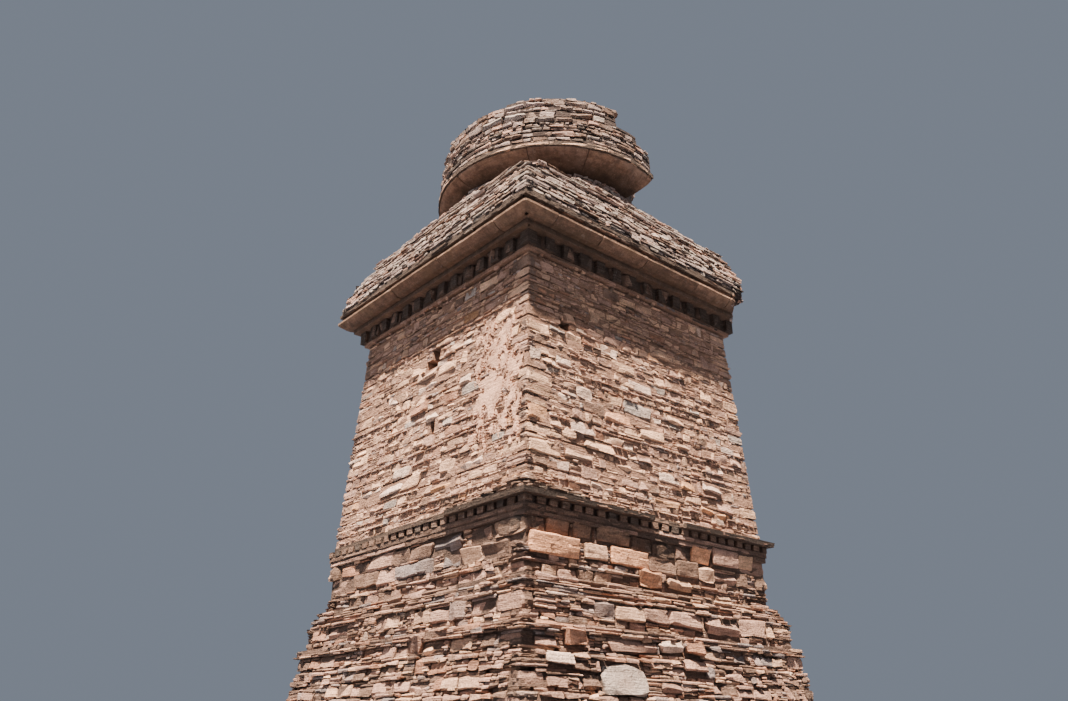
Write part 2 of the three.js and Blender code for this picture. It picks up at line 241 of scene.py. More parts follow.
class Pile:
    """The stones of one piece, gathered and then joined into one mesh."""

    def __init__(self, name):
        self.name = name
        self.laid = {}
        self.whole = []

    def lay(self, kind, form, centre, axes, size, colour, proud, turn):
        """One stone: its face's centre, its axes, (width, height, depth), and small turns."""
        row = [*centre, *axes[0], *axes[1], *axes[2], *size, *colour, proud, *turn]
        self.laid.setdefault((kind, form), []).append(row)

    def add_mesh(self, points, corners, sizes, colour, stand, seed):
        """A piece of stonework that was shaped one by one."""
        count = len(points)
        shade = np.tile(np.append(colour, 1.0), (count, 1))
        self.whole.append((points, corners, sizes, shade, stand, np.full(count, seed)))

    def joined_stones(self):
        """All laid stones of each form at once, as arrays."""
        seed = 0
        for (kind, number), rows in self.laid.items():
            aspect, form = FORMS[kind][number]
            rows = np.array(rows)
            count, per = len(rows), len(form["points"])
            centre, along, up, out = (rows[:, i : i + 3] for i in (0, 3, 6, 9))
            width, height, depth = (rows[:, i, None] for i in (12, 13, 14))
            colour, proud = rows[:, 15:18], rows[:, 18, None]
            roll, yaw, pitch = (rows[:, i, None] for i in (19, 20, 21))
            leaned = np.cos(roll) * along + np.sin(roll) * up
            up = np.cos(roll) * up - np.sin(roll) * along
            along = leaned + yaw * out
            out = out - yaw * leaned - pitch * up
            up = up + pitch * out
            x, y, z = form["points"].T
            across = x[None] * width / aspect
            rise = y[None] * height
            if form.get("whole"):
                back = (z[None] - 0.5) * depth
            else:
                back = np.where(z[None] < TAIL_LEVEL, -depth, z[None] * np.minimum(height, ROUGH_HEIGHT))
            points = centre[:, None] + across[..., None] * along[:, None]
            points = points + rise[..., None] * up[:, None] + back[..., None] * out[:, None]
            corners = form["corners"][None] + per * np.arange(count)[:, None]
            sizes = np.tile(form["sizes"], count)
            shade = np.repeat(np.hstack([colour, np.ones((count, 1))]), per, axis=0)
            stand = (proud + back).ravel()
            seeds = np.repeat(seed + np.arange(count) * STONE_STEP, per)
            seed += FORM_STEP
            yield points.reshape(-1, 3), corners.ravel(), sizes, shade, stand, seeds

    def finish(self, material, slot):
        """Joins the stones into one mesh object that rides on the body."""
        parts = [*self.joined_stones(), *self.whole]
        if not parts:
            return
        starts = np.cumsum([0] + [len(p[0]) for p in parts])[:-1]
        points = np.concatenate([p[0] for p in parts])
        corners = np.concatenate([p[1] + s for p, s in zip(parts, starts)])
        sizes = np.concatenate([p[2] for p in parts])
        mesh = bpy.data.meshes.new(self.name)
        mesh.vertices.add(len(points))
        mesh.vertices.foreach_set("co", points.astype(np.float32).ravel())
        mesh.loops.add(len(corners))
        mesh.loops.foreach_set("vertex_index", corners.astype(np.int32))
        mesh.polygons.add(len(sizes))
        mesh.polygons.foreach_set("loop_start", (np.cumsum(sizes) - sizes).astype(np.int32))
        mesh.update(calc_edges=True)
        mesh.set_sharp_from_angle(angle=SPLIT_EDGE)
        shade = mesh.attributes.new("stone_colour", "FLOAT_COLOR", "POINT")
        shade.data.foreach_set("color", np.concatenate([p[3] for p in parts]).astype(np.float32).ravel())
        for name, column in (("stand", 4), ("stone_seed", 5)):
            field = mesh.attributes.new(name, "FLOAT", "POINT")
            field.data.foreach_set("value", np.concatenate([p[column] for p in parts]).astype(np.float32))
        mesh.materials.append(material)
        piece = bpy.data.objects.new(self.name, mesh)
        bpy.context.scene.collection.objects.link(piece)
        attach(piece, "root")


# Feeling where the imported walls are


def surface_of(*names):
    """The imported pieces' outside, to cast rays on."""
    points, faces = [], []
    for name in names:
        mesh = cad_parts[name].data
        start = len(points)
        points.extend(v.co.copy() for v in mesh.vertices)
        faces.extend([start + i for i in p.vertices] for p in mesh.polygons)
    return BVHTree.FromPolygons(points, faces)


def all_sides(stem):
    return surface_of(*(f"{stem}_{side}" for side in SIDES))


def turned(side, x, y, z=0.0):
    """A place of the front, on another side."""
    x, y = ((x, y), (-y, x), (-x, -y), (y, -x))[side]
    return Vector((x, y, z))


def wall_out(surface, side, u, z):
    """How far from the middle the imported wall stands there, or 0 where there is none."""
    found = surface.ray_cast(turned(side, u, -FAR, z), turned(side, 0, 1), FAR)
    return FAR - found[3] if found[0] is not None else 0.0


class SquarePath:
    """A way round the four sides, counted from the front's left corner."""

    def __init__(self, half, rounding=0.06):
        self.half = half
        self.rounding = rounding
        self.length = 8 * half
        self.corners = [2 * half * i for i in range(5)]

    def place(self, s, out, turn=None):
        """Where out from the middle lies at s, or at a share of the turn round the corner at s."""
        if turn is None:
            side = int(s // (2 * self.half)) % 4
            return turned(side, s % (2 * self.half) - self.half, -out)
        side = round(s / (2 * self.half)) % 4
        bend = min(self.half - self.rounding, out)
        angle = -math.pi + turn * math.pi / 2
        reach = max(out - bend, 0)
        return turned(side, -bend + reach * math.cos(angle), -bend + reach * math.sin(angle))


class RoundPath:
    """A way round a circle, counted from its right side."""

    corners = ()

    def __init__(self, centre, radius):
        self.centre = Vector((*centre, 0))
        self.radius = radius
        self.length = 2 * math.pi * radius

    def place(self, s, out, turn=None):
        angle = s / self.radius
        return self.centre + Vector((math.cos(angle), math.sin(angle), 0)) * out


def path_out(surface, path, s, z):
    """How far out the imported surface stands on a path, or 0."""
    start = path.place(s, FAR)
    aim = path.place(s, 0) - start
    found = surface.ray_cast(start + Vector((0, 0, z)), aim.normalized(), FAR)
    return FAR - found[3] if found[0] is not None else 0.0


# Walls of split stone: how the stones of each kind of wall are laid

BODY_HABIT = {
    "course": (0.085, 0.17),  # a course's height
    "thin": (0.018, 0.036),  # a thin course's height
    "levelling": 0.5,  # share of courses that have a thin one on them
    "block": (1.0, 3.1),  # a stone's width, as a multiple of its course's height
    "stacks": 0.3,  # share of stones whose place is filled with a stack of flat ones
    "stack": (0.06, 0.22),  # such a stack's width
    "chip": (0.02, 0.045),  # height of a flat stone in a stack
    "run": (0.06, 0.24),  # width of a stone in a thin course
    "corner": (0.2, 0.5),  # shortest and longest leg of a corner stone
    "proud": (0.0, 0.011),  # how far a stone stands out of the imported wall
    "tilt": 0.045,  # how far it is turned in its face, in radians
    "wave": 0.010,  # how far a course rises and dips
    "ragged": 0.16,  # the most that a stone falls short of its course's height, as a share
    "flush": 0.036,  # how far the stones of a thin course stand out of their set-back line
    "spans": 0.55,  # how many stones of a side reach up into the next course
    "stones": BODY_STONES,
    "chips": BODY_CHIPS,
}
PODIUM_HABIT = BODY_HABIT | {
    "course": (0.09, 0.22),
    "thin": (0.025, 0.055),
    "levelling": 0.65,
    "block": (0.8, 2.8),
    "stacks": 0.42,
    "stack": (0.10, 0.34),
    "chip": (0.025, 0.055),
    "run": (0.1, 0.4),
    "corner": (0.25, 0.6),
    "proud": (0.0, 0.05),
    "tilt": 0.07,
    "wave": 0.014,
    "ragged": 0.22,
    "flush": 0.04,
    "stones": PODIUM_STONES,
    "chips": PODIUM_STONES,
}
ROOF_HABIT = PODIUM_HABIT | {
    "course": (0.045, 0.1),
    "thin": (0.018, 0.032),
    "levelling": 0.3,
    "block": (1.5, 4.2),
    "stacks": 0.2,
    "run": (0.15, 0.5),
    "corner": (0.25, 0.5),
    "proud": (0.0, 0.045),
    "tilt": 0.035,
    "wave": 0.015,
    "spans": 0.4,
    "stones": ROOF_STONES,
    "chips": ROOF_STONES,
}
ROOF_EDGE_HABIT = ROOF_HABIT | {
    "flush": 0.0,
    "course": (0.03, 0.05),
    "levelling": 0.0,
    "block": (5.0, 12.0),
    "stacks": 0.0,
    "proud": (0.0, 0.05),
    "tilt": 0.02,
    "wave": 0.004,
    "spans": 0.0,
}
FLAT_HABIT = PODIUM_HABIT | {
    "course": (0.026, 0.05),
    "levelling": 0.0,
    "block": (4.0, 13.0),
    "stacks": 0.0,
    "proud": (-0.005, 0.045),
    "tilt": 0.015,
    "wave": 0.004,
    "spans": 0.0,
    "stones": FLAT_STONES,
    "chips": FLAT_STONES,
}
PLINTH_HABIT = PODIUM_HABIT | {
    "levelling": 0.0,
    "block": (1.0, 3.2),
    "stacks": 0.22,
    "corner": (0.45, 0.85),
    "proud": (0.0, 0.04),
    "tilt": 0.025,
    "wave": 0.006,
    "ragged": 0.08,
    "spans": 0.0,
    "stones": PLINTH_STONES,
    "chips": PODIUM_STONES,
}


def planned_courses(low, high, habit, rng):
    """Heights of a wall's courses from its foot up, the same on all four sides."""
    courses = []
    z = low
    was_thin = True
    while high - z > 0.001:
        was_thin = not was_thin and rng.random() < habit["levelling"]
        tall = rng.uniform(*habit["thin" if was_thin else "course"])
        if high - z - tall < habit["thin"][0] * 1.4:
            tall = high - z
        courses.append((z, tall, was_thin))
        z += tall
    return courses


FEELING_STEP = 0.004  # how closely a packed wall's height is felt
SET_BACK = 0.012  # how far a line of thin stones stands back from the course below it


def felt_courses(low, high, out_at, habit, rng):
    """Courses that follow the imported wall's own: its set-back lines are thin, the rest is divided up."""
    heights = np.arange(low + FEELING_STEP / 2, high, FEELING_STEP)
    outs = [out_at(float(z)) for z in heights]
    cuts = [low]
    for before, after, z in zip(outs, outs[1:], heights):
        if abs(after - before) > SET_BACK:
            cuts.append(float(z) + FEELING_STEP / 2)
    courses = []
    for number, (foot, top) in enumerate(zip(cuts, cuts[1:] + [high])):
        if number % 2:
            courses.append((foot, top - foot, True))
        else:
            courses.extend(planned_courses(foot, top, habit, rng))
    return courses


def open_stretches(start, stop, taken):
    """What is left of a course between the stones that are already there."""
    stretches = []
    for low, high in sorted(taken):
        if low > start:
            stretches.append((start, min(low, stop)))
        start = max(start, high)
    if start < stop:
        stretches.append((start, stop))
    return stretches


STONE_LENGTHS = (0.05, 0.95)  # the shortest and longest stone of a wall's course
JOINT = (0.003, 0.022)  # width of the gap between two stones
TOPPED = 0.45  # share of the high stones that have flat ones laid on them
REACHING = 0.3  # share of stones that reach into the next course, and by how much at most
REACH = 0.035
CORNER_LAYER = (0.04, 0.09)  # height of the flat stones at a corner
LOST = 0.09  # a wall that stands this much further back than its tier has broken away
WHOLE_PLACES = (-1.3, 0.9, 1.6)  # along a side: at each height one of them is whole
SPAN_LIMIT = 0.34  # courses that are higher together have no stone through both


def stone_kind(width, height):
    """The form that suits a stone of that size."""
    if height < 0.06 and width < 0.3:
        return "chip"
    return "slab" if width > 3.2 * height else "block"


class Wall:
    """One tier: its courses are shared by the four sides, and each side is a pile of its own."""

    def __init__(self, name, stem, low, high, habit, seed, courses=None):
        self.surface = all_sides(stem)
        self.habit = habit
        self.rng = np.random.default_rng(seed)
        self.courses = courses or planned_courses(low, high, habit, self.rng)
        self.piles = [Pile(f"{name}_{side}") for side in SIDES]
        self.kept = [[] for _ in SIDES]
        self.stains_and_shade = []

    def out(self, side, u, z):
        return wall_out(self.surface, side, u, z)

    def stain_and_shade(self, side, u, z):
        """How much darker or lighter the wall is at a place, from its stains and from painted shade."""
        shade = 1.0
        for where, low_u, high_u, low_z, high_z, amount in self.stains_and_shade:
            if side == where and low_u < u < high_u and low_z < z < high_z:
                shade *= amount
        return shade

    def wave(self, side, u, z):
        """Courses rise and dip a little between the corners."""
        half = self.out(side, 0.3, z) or BODY_HALF
        steady = max(0, 1 - (u / half) ** 2)
        swell = math.sin(1.9 * u + 1.3 * z + 2.1 * side) + 0.6 * math.sin(4.3 * u - 2.7 * z + side)
        return self.habit["wave"] * steady * swell

    def set_stone(self, side, u, z, width, height, mix, proud=None, kind=None, colour=None):
        """One stone with its face's middle at (u, z) on a side."""
        rng = self.rng
        z = max(z + self.wave(side, u, z), PODIUM_FOOT + 0.02 + height / 2)
        reach = height * 0.3
        out = max(self.out(side, u, z + shift) for shift in (-reach, 0.0, reach))
        if out < self.expected(side, z) - LOST:
            return
        for end in (-1, 1):
            # A stone doesn't hang over a break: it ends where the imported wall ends
            if self.out(side, u + end * 0.4 * width, z) < self.expected(side, z) - LOST:
                u -= end * width / 4
                width /= 2
        above = self.out(side, u, z + height * 0.45) or out
        lean = (out - above) / (height * 0.45) if above else 0
        lean = min(max(lean, -0.2), 0.5)
        if proud is None:
            proud = rng.uniform(*self.habit["proud"])
        aspect = width / height
        if kind is None:
            kind = stone_kind(width, height)
        axes = (turned(side, 1, 0), (turned(side, 0, 0, 1) + turned(side, 0, lean)).normalized())
        centre = turned(side, u, -(out + proud), z)
        tilt = self.habit["tilt"]
        roll = rng.normal(0, tilt * min(1, 1.2 / aspect)) + (math.pi if rng.random() < 0.5 else 0)
        depth = height if kind == "boulder" else min(0.09 + height * 0.5, 0.2)
        turn = (roll, rng.normal(0, 0.05 * min(1, 1.2 / aspect)), rng.normal(0, 0.07))
        self.piles[side].lay(
            kind,
            chosen_form(kind, aspect, rng),
            centre,
            (*axes, turned(side, 0, -1)),
            (width, height, depth),
            (drawn_colour(mix, rng) if colour is None else colour) * self.stain_and_shade(side, u, z),
            proud,
            turn,
        )

    def expected(self, side, z):
        """The tier's own half width at a height, away from its holes and losses."""
        return max(self.out(side, u, z) for u in WHOLE_PLACES)

    def set_corner(self, corner, z, tall, on_side, on_last):
        """A corner stone at the left end of a side, with a leg on it and one on the side before."""
        rng = self.rng
        middle = z + tall / 2
        half = self.expected(corner, middle)
        if self.out(corner, -half + 0.03, middle) < half - LOST / 2:
            return
        proud = rng.uniform(*self.habit["proud"]) + rng.normal(0, 0.01)
        aspect = max(on_side, on_last) / tall
        reach = half + proud
        turn = (rng.normal(0, 0.012), rng.normal(0, 0.012), 0.0)
        if on_side >= on_last:
            axes = (turned(corner, 1, 0), turned(corner, 0, 0, 1), turned(corner, 0, -1))
            centre = turned(corner, -reach + on_side / 2, -reach, middle)
            size = (on_side, tall - 0.006, on_last)
        else:
            axes = (turned(corner, 0, -1), turned(corner, 0, 0, 1), turned(corner, -1, 0))
            centre = turned(corner, -reach, -reach + on_last / 2, middle)
            size = (on_last, tall - 0.006, on_side)
        form = chosen_form("corner", min(max(aspect, 1.5), 4.0), rng)
        colour = drawn_colour(self.habit["stones"], rng) * self.stain_and_shade(corner, -half, middle)
        self.piles[corner].lay("corner", form, centre, axes, size, colour, proud, turn)

    def corner_legs(self, number):
        """Lengths of a course's corner stones along their own side and along the one before."""
        low, high = self.habit["corner"]
        spread = (number * 0.618) % 1
        long_leg = low + (high - low) * spread
        short_leg = low * (0.55 + 0.35 * ((number * 0.377) % 1))
        return (long_leg, short_leg) if number % 2 else (short_leg, long_leg)

    def turn_corner(self, corner, z, tall, on_side, on_last):
        """A course at a corner: one stone, or flat ones on each other that end on the same lines."""
        rng = self.rng
        top = z + tall
        layered = tall > 2.5 * self.habit["chip"][1] and rng.random() < 0.5
        while top - z > 0.01:
            layer = rng.uniform(*CORNER_LAYER) if layered else tall
            if top - z - layer < 0.025:
                layer = top - z
            self.set_corner(corner, z, layer, on_side, on_last)
            z += layer

    def stack(self, side, u, z, width, tall):
        """Small flat stones one on another, filling a course between two blocks."""
        rng = self.rng
        top = z + tall
        while top - z > 0.012:
            height = rng.uniform(*self.habit["chip"])
            if top - z - height < self.habit["chip"][0] * 0.8:
                height = top - z
            part = width if rng.random() < 0.6 or width < 0.12 else width * rng.uniform(0.35, 0.65)
            for start, wide in ((0, part), (part, width - part)):
                if wide > 0.02:
                    middle = u + start + wide / 2
                    gap = rng.uniform(0.002, 0.012)
                    self.set_stone(side, middle, z + height / 2, wide - gap, height - 0.003,
                                   self.habit["chips"])
            z += height

    def fill(self, side, start, stop, z, tall, thin):
        """One stretch of a course."""
        rng, habit = self.rng, self.habit
        u = start
        while stop - u > 0.015:
            stacked = not thin and tall > 2.2 * habit["chip"][0] and rng.random() < habit["stacks"]
            if thin:
                width = rng.uniform(*habit["run"])
            elif stacked:
                width = rng.uniform(*habit["stack"])
            else:
                width = tall * rng.uniform(*habit["block"])
            width = min(max(width, STONE_LENGTHS[0]), STONE_LENGTHS[1])
            if stop - u - width < STONE_LENGTHS[0]:
                width = stop - u
            if stacked:
                self.stack(side, u, z, width, tall)
            else:
                height = tall
                if not thin and tall > 0.1 and rng.random() < TOPPED:
                    height = tall - rng.uniform(*habit["chip"])
                    self.stack(side, u, z + height, width, tall - height)
                mix = habit["chips"] if thin else habit["stones"]
                reaching = not thin and height == tall and rng.random() < REACHING
                over = rng.uniform(0, REACH) if reaching else 0.0
                gap = min(rng.uniform(*JOINT), width / 3)
                worn = 1.0 if thin or over else 1 - habit["ragged"] * rng.random()
                middle = z + (height * worn + rng.choice((-over, over))) / 2
                proud = rng.uniform(*habit["proud"])
                if thin:
                    proud += rng.uniform(0.4, 1.0) * habit["flush"]
                self.set_stone(side, u + width / 2, middle, width - gap, height * worn + over - 0.004,
                               mix, proud)
            u += width

    def span_courses(self):
        """Here and there a tall stone that reaches through two courses."""
        rng = self.rng
        for (z, tall, thin), (_, above, _) in zip(self.courses, self.courses[1:]):
            if thin or tall + above > SPAN_LIMIT:
                continue
            for side in range(4):
                half = self.expected(side, z + tall)
                for _ in range(rng.poisson(self.habit["spans"])):
                    width = (tall + above) * rng.uniform(0.9, 2.1)
                    reach = half - self.habit["corner"][1] - width / 2
                    u = rng.uniform(-reach, reach)
                    low_u, high_u, high_z = u - width / 2, u + width / 2, z + tall + above
                    clear = all(
                        high_u < other[0] or low_u > other[1] or high_z < other[2] or z > other[3]
                        for other in self.kept[side]
                    )
                    if clear:
                        self.kept[side].append((low_u, high_u, z, high_z))
                        self.set_stone(side, u, z + (tall + above) / 2, width - 0.015, tall + above - 0.01,
                                       self.habit["stones"])

    def lay(self):
        """All four sides, course by course, round the stones that were kept room for."""
        self.span_courses()
        for number, (z, tall, thin) in enumerate(self.courses):
            middle = z + tall / 2
            on_side, on_last = self.corner_legs(number)
            for side in range(4):
                half = self.expected(side, middle)
                self.turn_corner(side, z, tall, on_side, on_last)
                taken = [
                    (low_u, high_u)
                    for low_u, high_u, low_z, high_z in self.kept[side]
                    if low_z < z + tall * 0.7 and high_z > z + tall * 0.3
                ]
                for start, stop in open_stretches(-half + on_side, half - on_last, taken):
                    self.fill(side, start, stop, z, tall, thin)

    def build(self, material, slot):
        """Lays the courses and joins each side's stones into one piece."""
        self.lay()
        for pile in self.piles:
            pile.finish(material, slot)


RING_LENGTHS = (0.08, 0.6)  # the shortest and longest stone of a round course


def lay_ring(pile, surface, z, tall, habit, rng, centre=DOME_CENTRE, least=0.0):
    """A course round a tier whose plan is round or nearly so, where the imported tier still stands."""
    path = RoundPath(centre, 1.0)
    middle = z + tall / 2
    angle = rng.uniform(0, 0.3)
    end = angle + 2 * math.pi
    while angle < end - 0.01:
        width = min(max(tall * rng.uniform(*habit["block"]), RING_LENGTHS[0]), RING_LENGTHS[1])
        out = path_out(surface, path, angle, middle)
        step = width / max(out, 1.0)
        if out > least and rng.random() >= habit.get("missing", 0):
            here = path.place(angle + step / 2, path_out(surface, path, angle + step / 2, middle))
            first = path.place(angle, path_out(surface, path, angle, middle))
            last = path.place(angle + step, path_out(surface, path, angle + step, middle))
            along = last - first
            whole = 0.6 * width < along.length < 1.5 * width
            if whole and (here - path.centre).length > least:
                along.normalize()
                upright = Vector((0, 0, 1))
                outward = along.cross(upright)
                proud = rng.uniform(*habit["proud"])
                height = (tall - 0.006) * (1 - habit["ragged"] * rng.random())
                kind = stone_kind(width, height)
                roll = rng.normal(0, habit["tilt"] * 0.7)
                pile.lay(
                    kind,
                    chosen_form(kind, width / height, rng),
                    here + outward * proud + Vector((0, 0, z + height / 2)),
                    (along, upright, outward),
                    (width - rng.uniform(0.005, 0.03), height, habit.get("depth", 0.16)),
                    drawn_colour(habit["stones"], rng),
                    proud,
                    (roll, rng.normal(0, 0.04), rng.normal(0, 0.05)),
                )
        angle += step


# Slabs: a cross-section drawn along a path, each slab a closed body with worn edges


END_GAP = 0.012  # how far in from its ends a slab starts to be drawn in
SLAB_PROUD = 0.01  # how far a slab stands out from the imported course
SLAB_STAND = 0.06  # stands clear of the wall all over, so no mud is drawn on it
SLAB_LEAST = 0.08  # a shorter remainder of a slab has fallen off
STOP_SPACING = 0.12  # between the places where a slab's cross-section is set
END_WEAR = 0.07  # share of its cross-section that a slab loses at its ends
NOSE_DEPTH = 0.06  # how far in from its nose a slab is chipped


def shaped_slab(section, path, stops, outs, level, chip, seed):
    """One slab: the section's (out, up) points at each stop, its edges chipped and its ends worn."""
    bm = bmesh.new()
    face = bm.faces.new([bm.verts.new((out, 0, up)) for out, up in section])
    rings = [list(face.verts)]
    for _ in stops[1:]:
        made = bmesh.ops.extrude_face_region(bm, geom=[face])["geom"]
        face = next(g for g in made if isinstance(g, bmesh.types.BMFace))
        rings.append(list(face.verts))
    middle_out, middle_up = np.mean(section, axis=0)
    for ring, (s, turn), out in zip(rings, stops, outs):
        shrink = END_WEAR if ring is rings[0] or ring is rings[-1] else 0.0
        for v in ring:
            part, up = v.co.x, v.co.z
            spot = Vector((s * 6 + seed, part * 9 + (turn or 0), up * 25))
            worn = (0.5 + noise.noise(spot)) * chip if part > -NOSE_DEPTH else 0
            part += shrink * (middle_out - part) - worn
            up += shrink * (middle_up - up) + noise.noise(spot * 1.7) * chip * 0.3
            place = path.place(s, out + part, turn)
            v.co = (place.x, place.y, level + up)
    return form_of(bm)


def slab_ranges(path, lengths, legs, rng):
    """Where each slab of a course starts and ends, with a slab round every corner."""
    corners = path.corners
    if not corners:
        cuts = [0.0]
        while path.length - cuts[-1] > lengths[1] + lengths[0]:
            cuts.append(cuts[-1] + rng.uniform(*lengths))
        return [(a, b, None) for a, b in zip(cuts, cuts[1:] + [path.length])]
    ranges = []
    reach = [(rng.uniform(*legs), rng.uniform(*legs)) for _ in range(4)]
    for k in range(4):
        ranges.append((corners[k] - reach[k][0], corners[k] + reach[k][1], corners[k]))
        s = corners[k] + reach[k][1]
        stop = corners[k + 1] - reach[(k + 1) % 4][0]
        while s < stop - 0.01:
            length = rng.uniform(*lengths)
            if stop - s - length < lengths[0] * 0.6:
                length = stop - s
            ranges.append((s, s + length, None))
            s += length
    return ranges


def slab_stops(start, end, corner, path, joint):
    """The places along one slab where its cross-section is set, more closely round a corner."""
    low, high = start + joint / 2, end - joint / 2
    steps = max(2, round((high - low) / STOP_SPACING))
    stops = [(low, None), (low + END_GAP, None)]
    for s in np.linspace(low, high, steps + 1)[1:-1]:
        if corner is None or abs(s - corner) > path.rounding + 0.03:
            stops.append((float(s), None))
    if corner is not None:
        stops.extend((corner, turn) for turn in (0.0, 0.33, 0.67, 1.0))
    stops.extend([(high - END_GAP, None), (high, None)])
    return sorted(stops, key=lambda stop: (stop[0], stop[1] or 0))


def lay_slabs(pile, surface, path, level, section, nominal, lengths, mix, rng, **habit):
    """A course of slabs round a path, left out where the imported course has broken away."""
    chip = habit.get("chip", 0.012)
    loss, missing = habit.get("loss", 0.08), habit.get("missing", 0.0)
    feel = level + habit.get("feel", section[0][1] + 0.02)
    joint, legs = habit.get("joint", 0.008), habit.get("legs", (0.3, 0.6))
    near = habit.get("near", path.length)
    for start, end, corner in slab_ranges(path, lengths, legs, rng):
        away = abs((start + end) / 2 + path.length / 2) % path.length - path.length / 2
        if abs(away) > near or (corner is None and rng.random() < missing):
            continue
        stops = slab_stops(start, end, corner, path, joint)
        felt = []
        for s, turn in stops:
            aside = 0.0 if turn is None else math.copysign(0.03, turn - 0.5)
            felt.append(nominal - path_out(surface, path, s + aside, feel))
        whole = [f < loss for f in felt]
        runs = []
        for i, good in enumerate(whole):
            if good and (i == 0 or not whole[i - 1]):
                runs.append([i, i])
            if good:
                runs[-1][1] = i
        if not runs:
            continue
        first, last = max(runs, key=lambda run: stops[run[1]][0] - stops[run[0]][0])
        if stops[last][0] - stops[first][0] < SLAB_LEAST:
            continue
        shift = rng.normal(SLAB_PROUD, SLAB_PROUD * 0.4)
        outs = [nominal - min(max(f, 0), loss) + shift for f in felt[first : last + 1]]
        form = shaped_slab(section, path, stops[first : last + 1], outs, level + rng.normal(0, 0.002),
                           chip, rng.uniform(0, 90))
        free = np.full(len(form["points"]), SLAB_STAND)
        colour = drawn_colour(mix, rng)
        pile.add_mesh(form["points"], form["corners"], form["sizes"], colour, free, rng.uniform(0, 50))


def thin_section(thick, depth):
    """A plain slab's cross-section, with a small arris above and below its nose."""
    edge = thick * 0.22
    return [
        (-depth, 0.0),
        (-edge, 0.0),
        (0.0, edge),
        (0.0, thick - edge),
        (-edge, thick),
        (-depth, thick),
    ]


def plaster_sheet(name, surface, side, low_u, high_u, low_z, high_z, seed):
    """What is left of a coat of mud plaster: a thin ragged sheet that the prouder stones show through."""

    def cover(x, y):
        """How well a place is covered: below 0 the plaster has gone."""
        rim = 1 - 2 * max(abs(x), abs(y))
        return noise.fractal(Vector((4 * x + seed, 6 * y, 0)), 0.4, 2.0, 6) + 0.9 * rim - 0.3

    bm = bmesh.new()
    bmesh.ops.create_grid(bm, x_segments=56, y_segments=100, size=0.5)
    lost = []
    for face in bm.faces:
        if cover(*face.calc_center_median().xy) < -0.1:
            lost.append(face)
    bmesh.ops.delete(bm, geom=lost, context="FACES")
    for v in bm.verts:
        u = low_u + (v.co.x + 0.5) * (high_u - low_u)
        z = low_z + (v.co.y + 0.5) * (high_z - low_z)
        out = max(wall_out(surface, side, u, z + shift) for shift in (-0.04, 0.0, 0.04))
        out += min(0.2 * cover(v.co.x, v.co.y), 0.028) + 0.006 * noise.noise(Vector((5 * u, 5 * z, seed)))
        v.co = turned(side, u, -out, z)
    bmesh.ops.solidify(bm, geom=bm.faces[:], thickness=0.04)
    bmesh.ops.recalc_face_normals(bm, faces=bm.faces)
    mesh = bpy.data.meshes.new(name)
    bm.to_mesh(mesh)
    bm.free()
    mesh.materials.append(plaster)
    sheet = bpy.data.objects.new(name, mesh)
    bpy.context.scene.collection.objects.link(sheet)
    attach(sheet, "root")


def lay_teeth(pile, surface, side, half, count, tooth, low, high, mix, rng, rough=0.0):
    """A course of tooth stones with gaps between them; the left corner's tooth shows on two sides.

    Rough ones are split stones of uneven width that don't stand out.
    """
    pitch = (2 * half - tooth) / count
    middle = (low + high) / 2
    height = high - low - 0.006
    for i in range(count):
        u = -half + i * pitch + tooth / 2
        if wall_out(surface, side, u, middle) < half - 0.03:
            continue
        proud = rng.uniform(0.002, 0.012) - rough / 2
        colour = drawn_colour(mix, rng)
        axes = (turned(side, 1, 0), turned(side, 0, 0, 1), turned(side, 0, -1))
        if i == 0:
            centre = turned(side, u - proud, -half - proud, middle)
            size = (tooth + proud, height, tooth + proud)
            form = chosen_form("corner", 1.5, rng)
            pile.lay("corner", form, centre, axes, size, colour, proud, (0, 0, 0))
            continue
        width = tooth * rng.uniform(1.08, 1.16 + 4 * rough)
        kind = "block" if rough else "tooth"
        form = chosen_form(kind, width / height, rng)
        turn = (rng.normal(0, 0.01 + 2 * rough), rng.normal(0, 0.02 + rough), rng.normal(0, rough))
        centre = turned(side, u + rng.normal(0, 0.004 + rough), -half - proud, middle)
        pile.lay(kind, form, centre, axes, (width, height, 0.12), colour, proud, turn)


FILL_REACH = 0.4  # a face with something nearer than this before it gets no fill stones


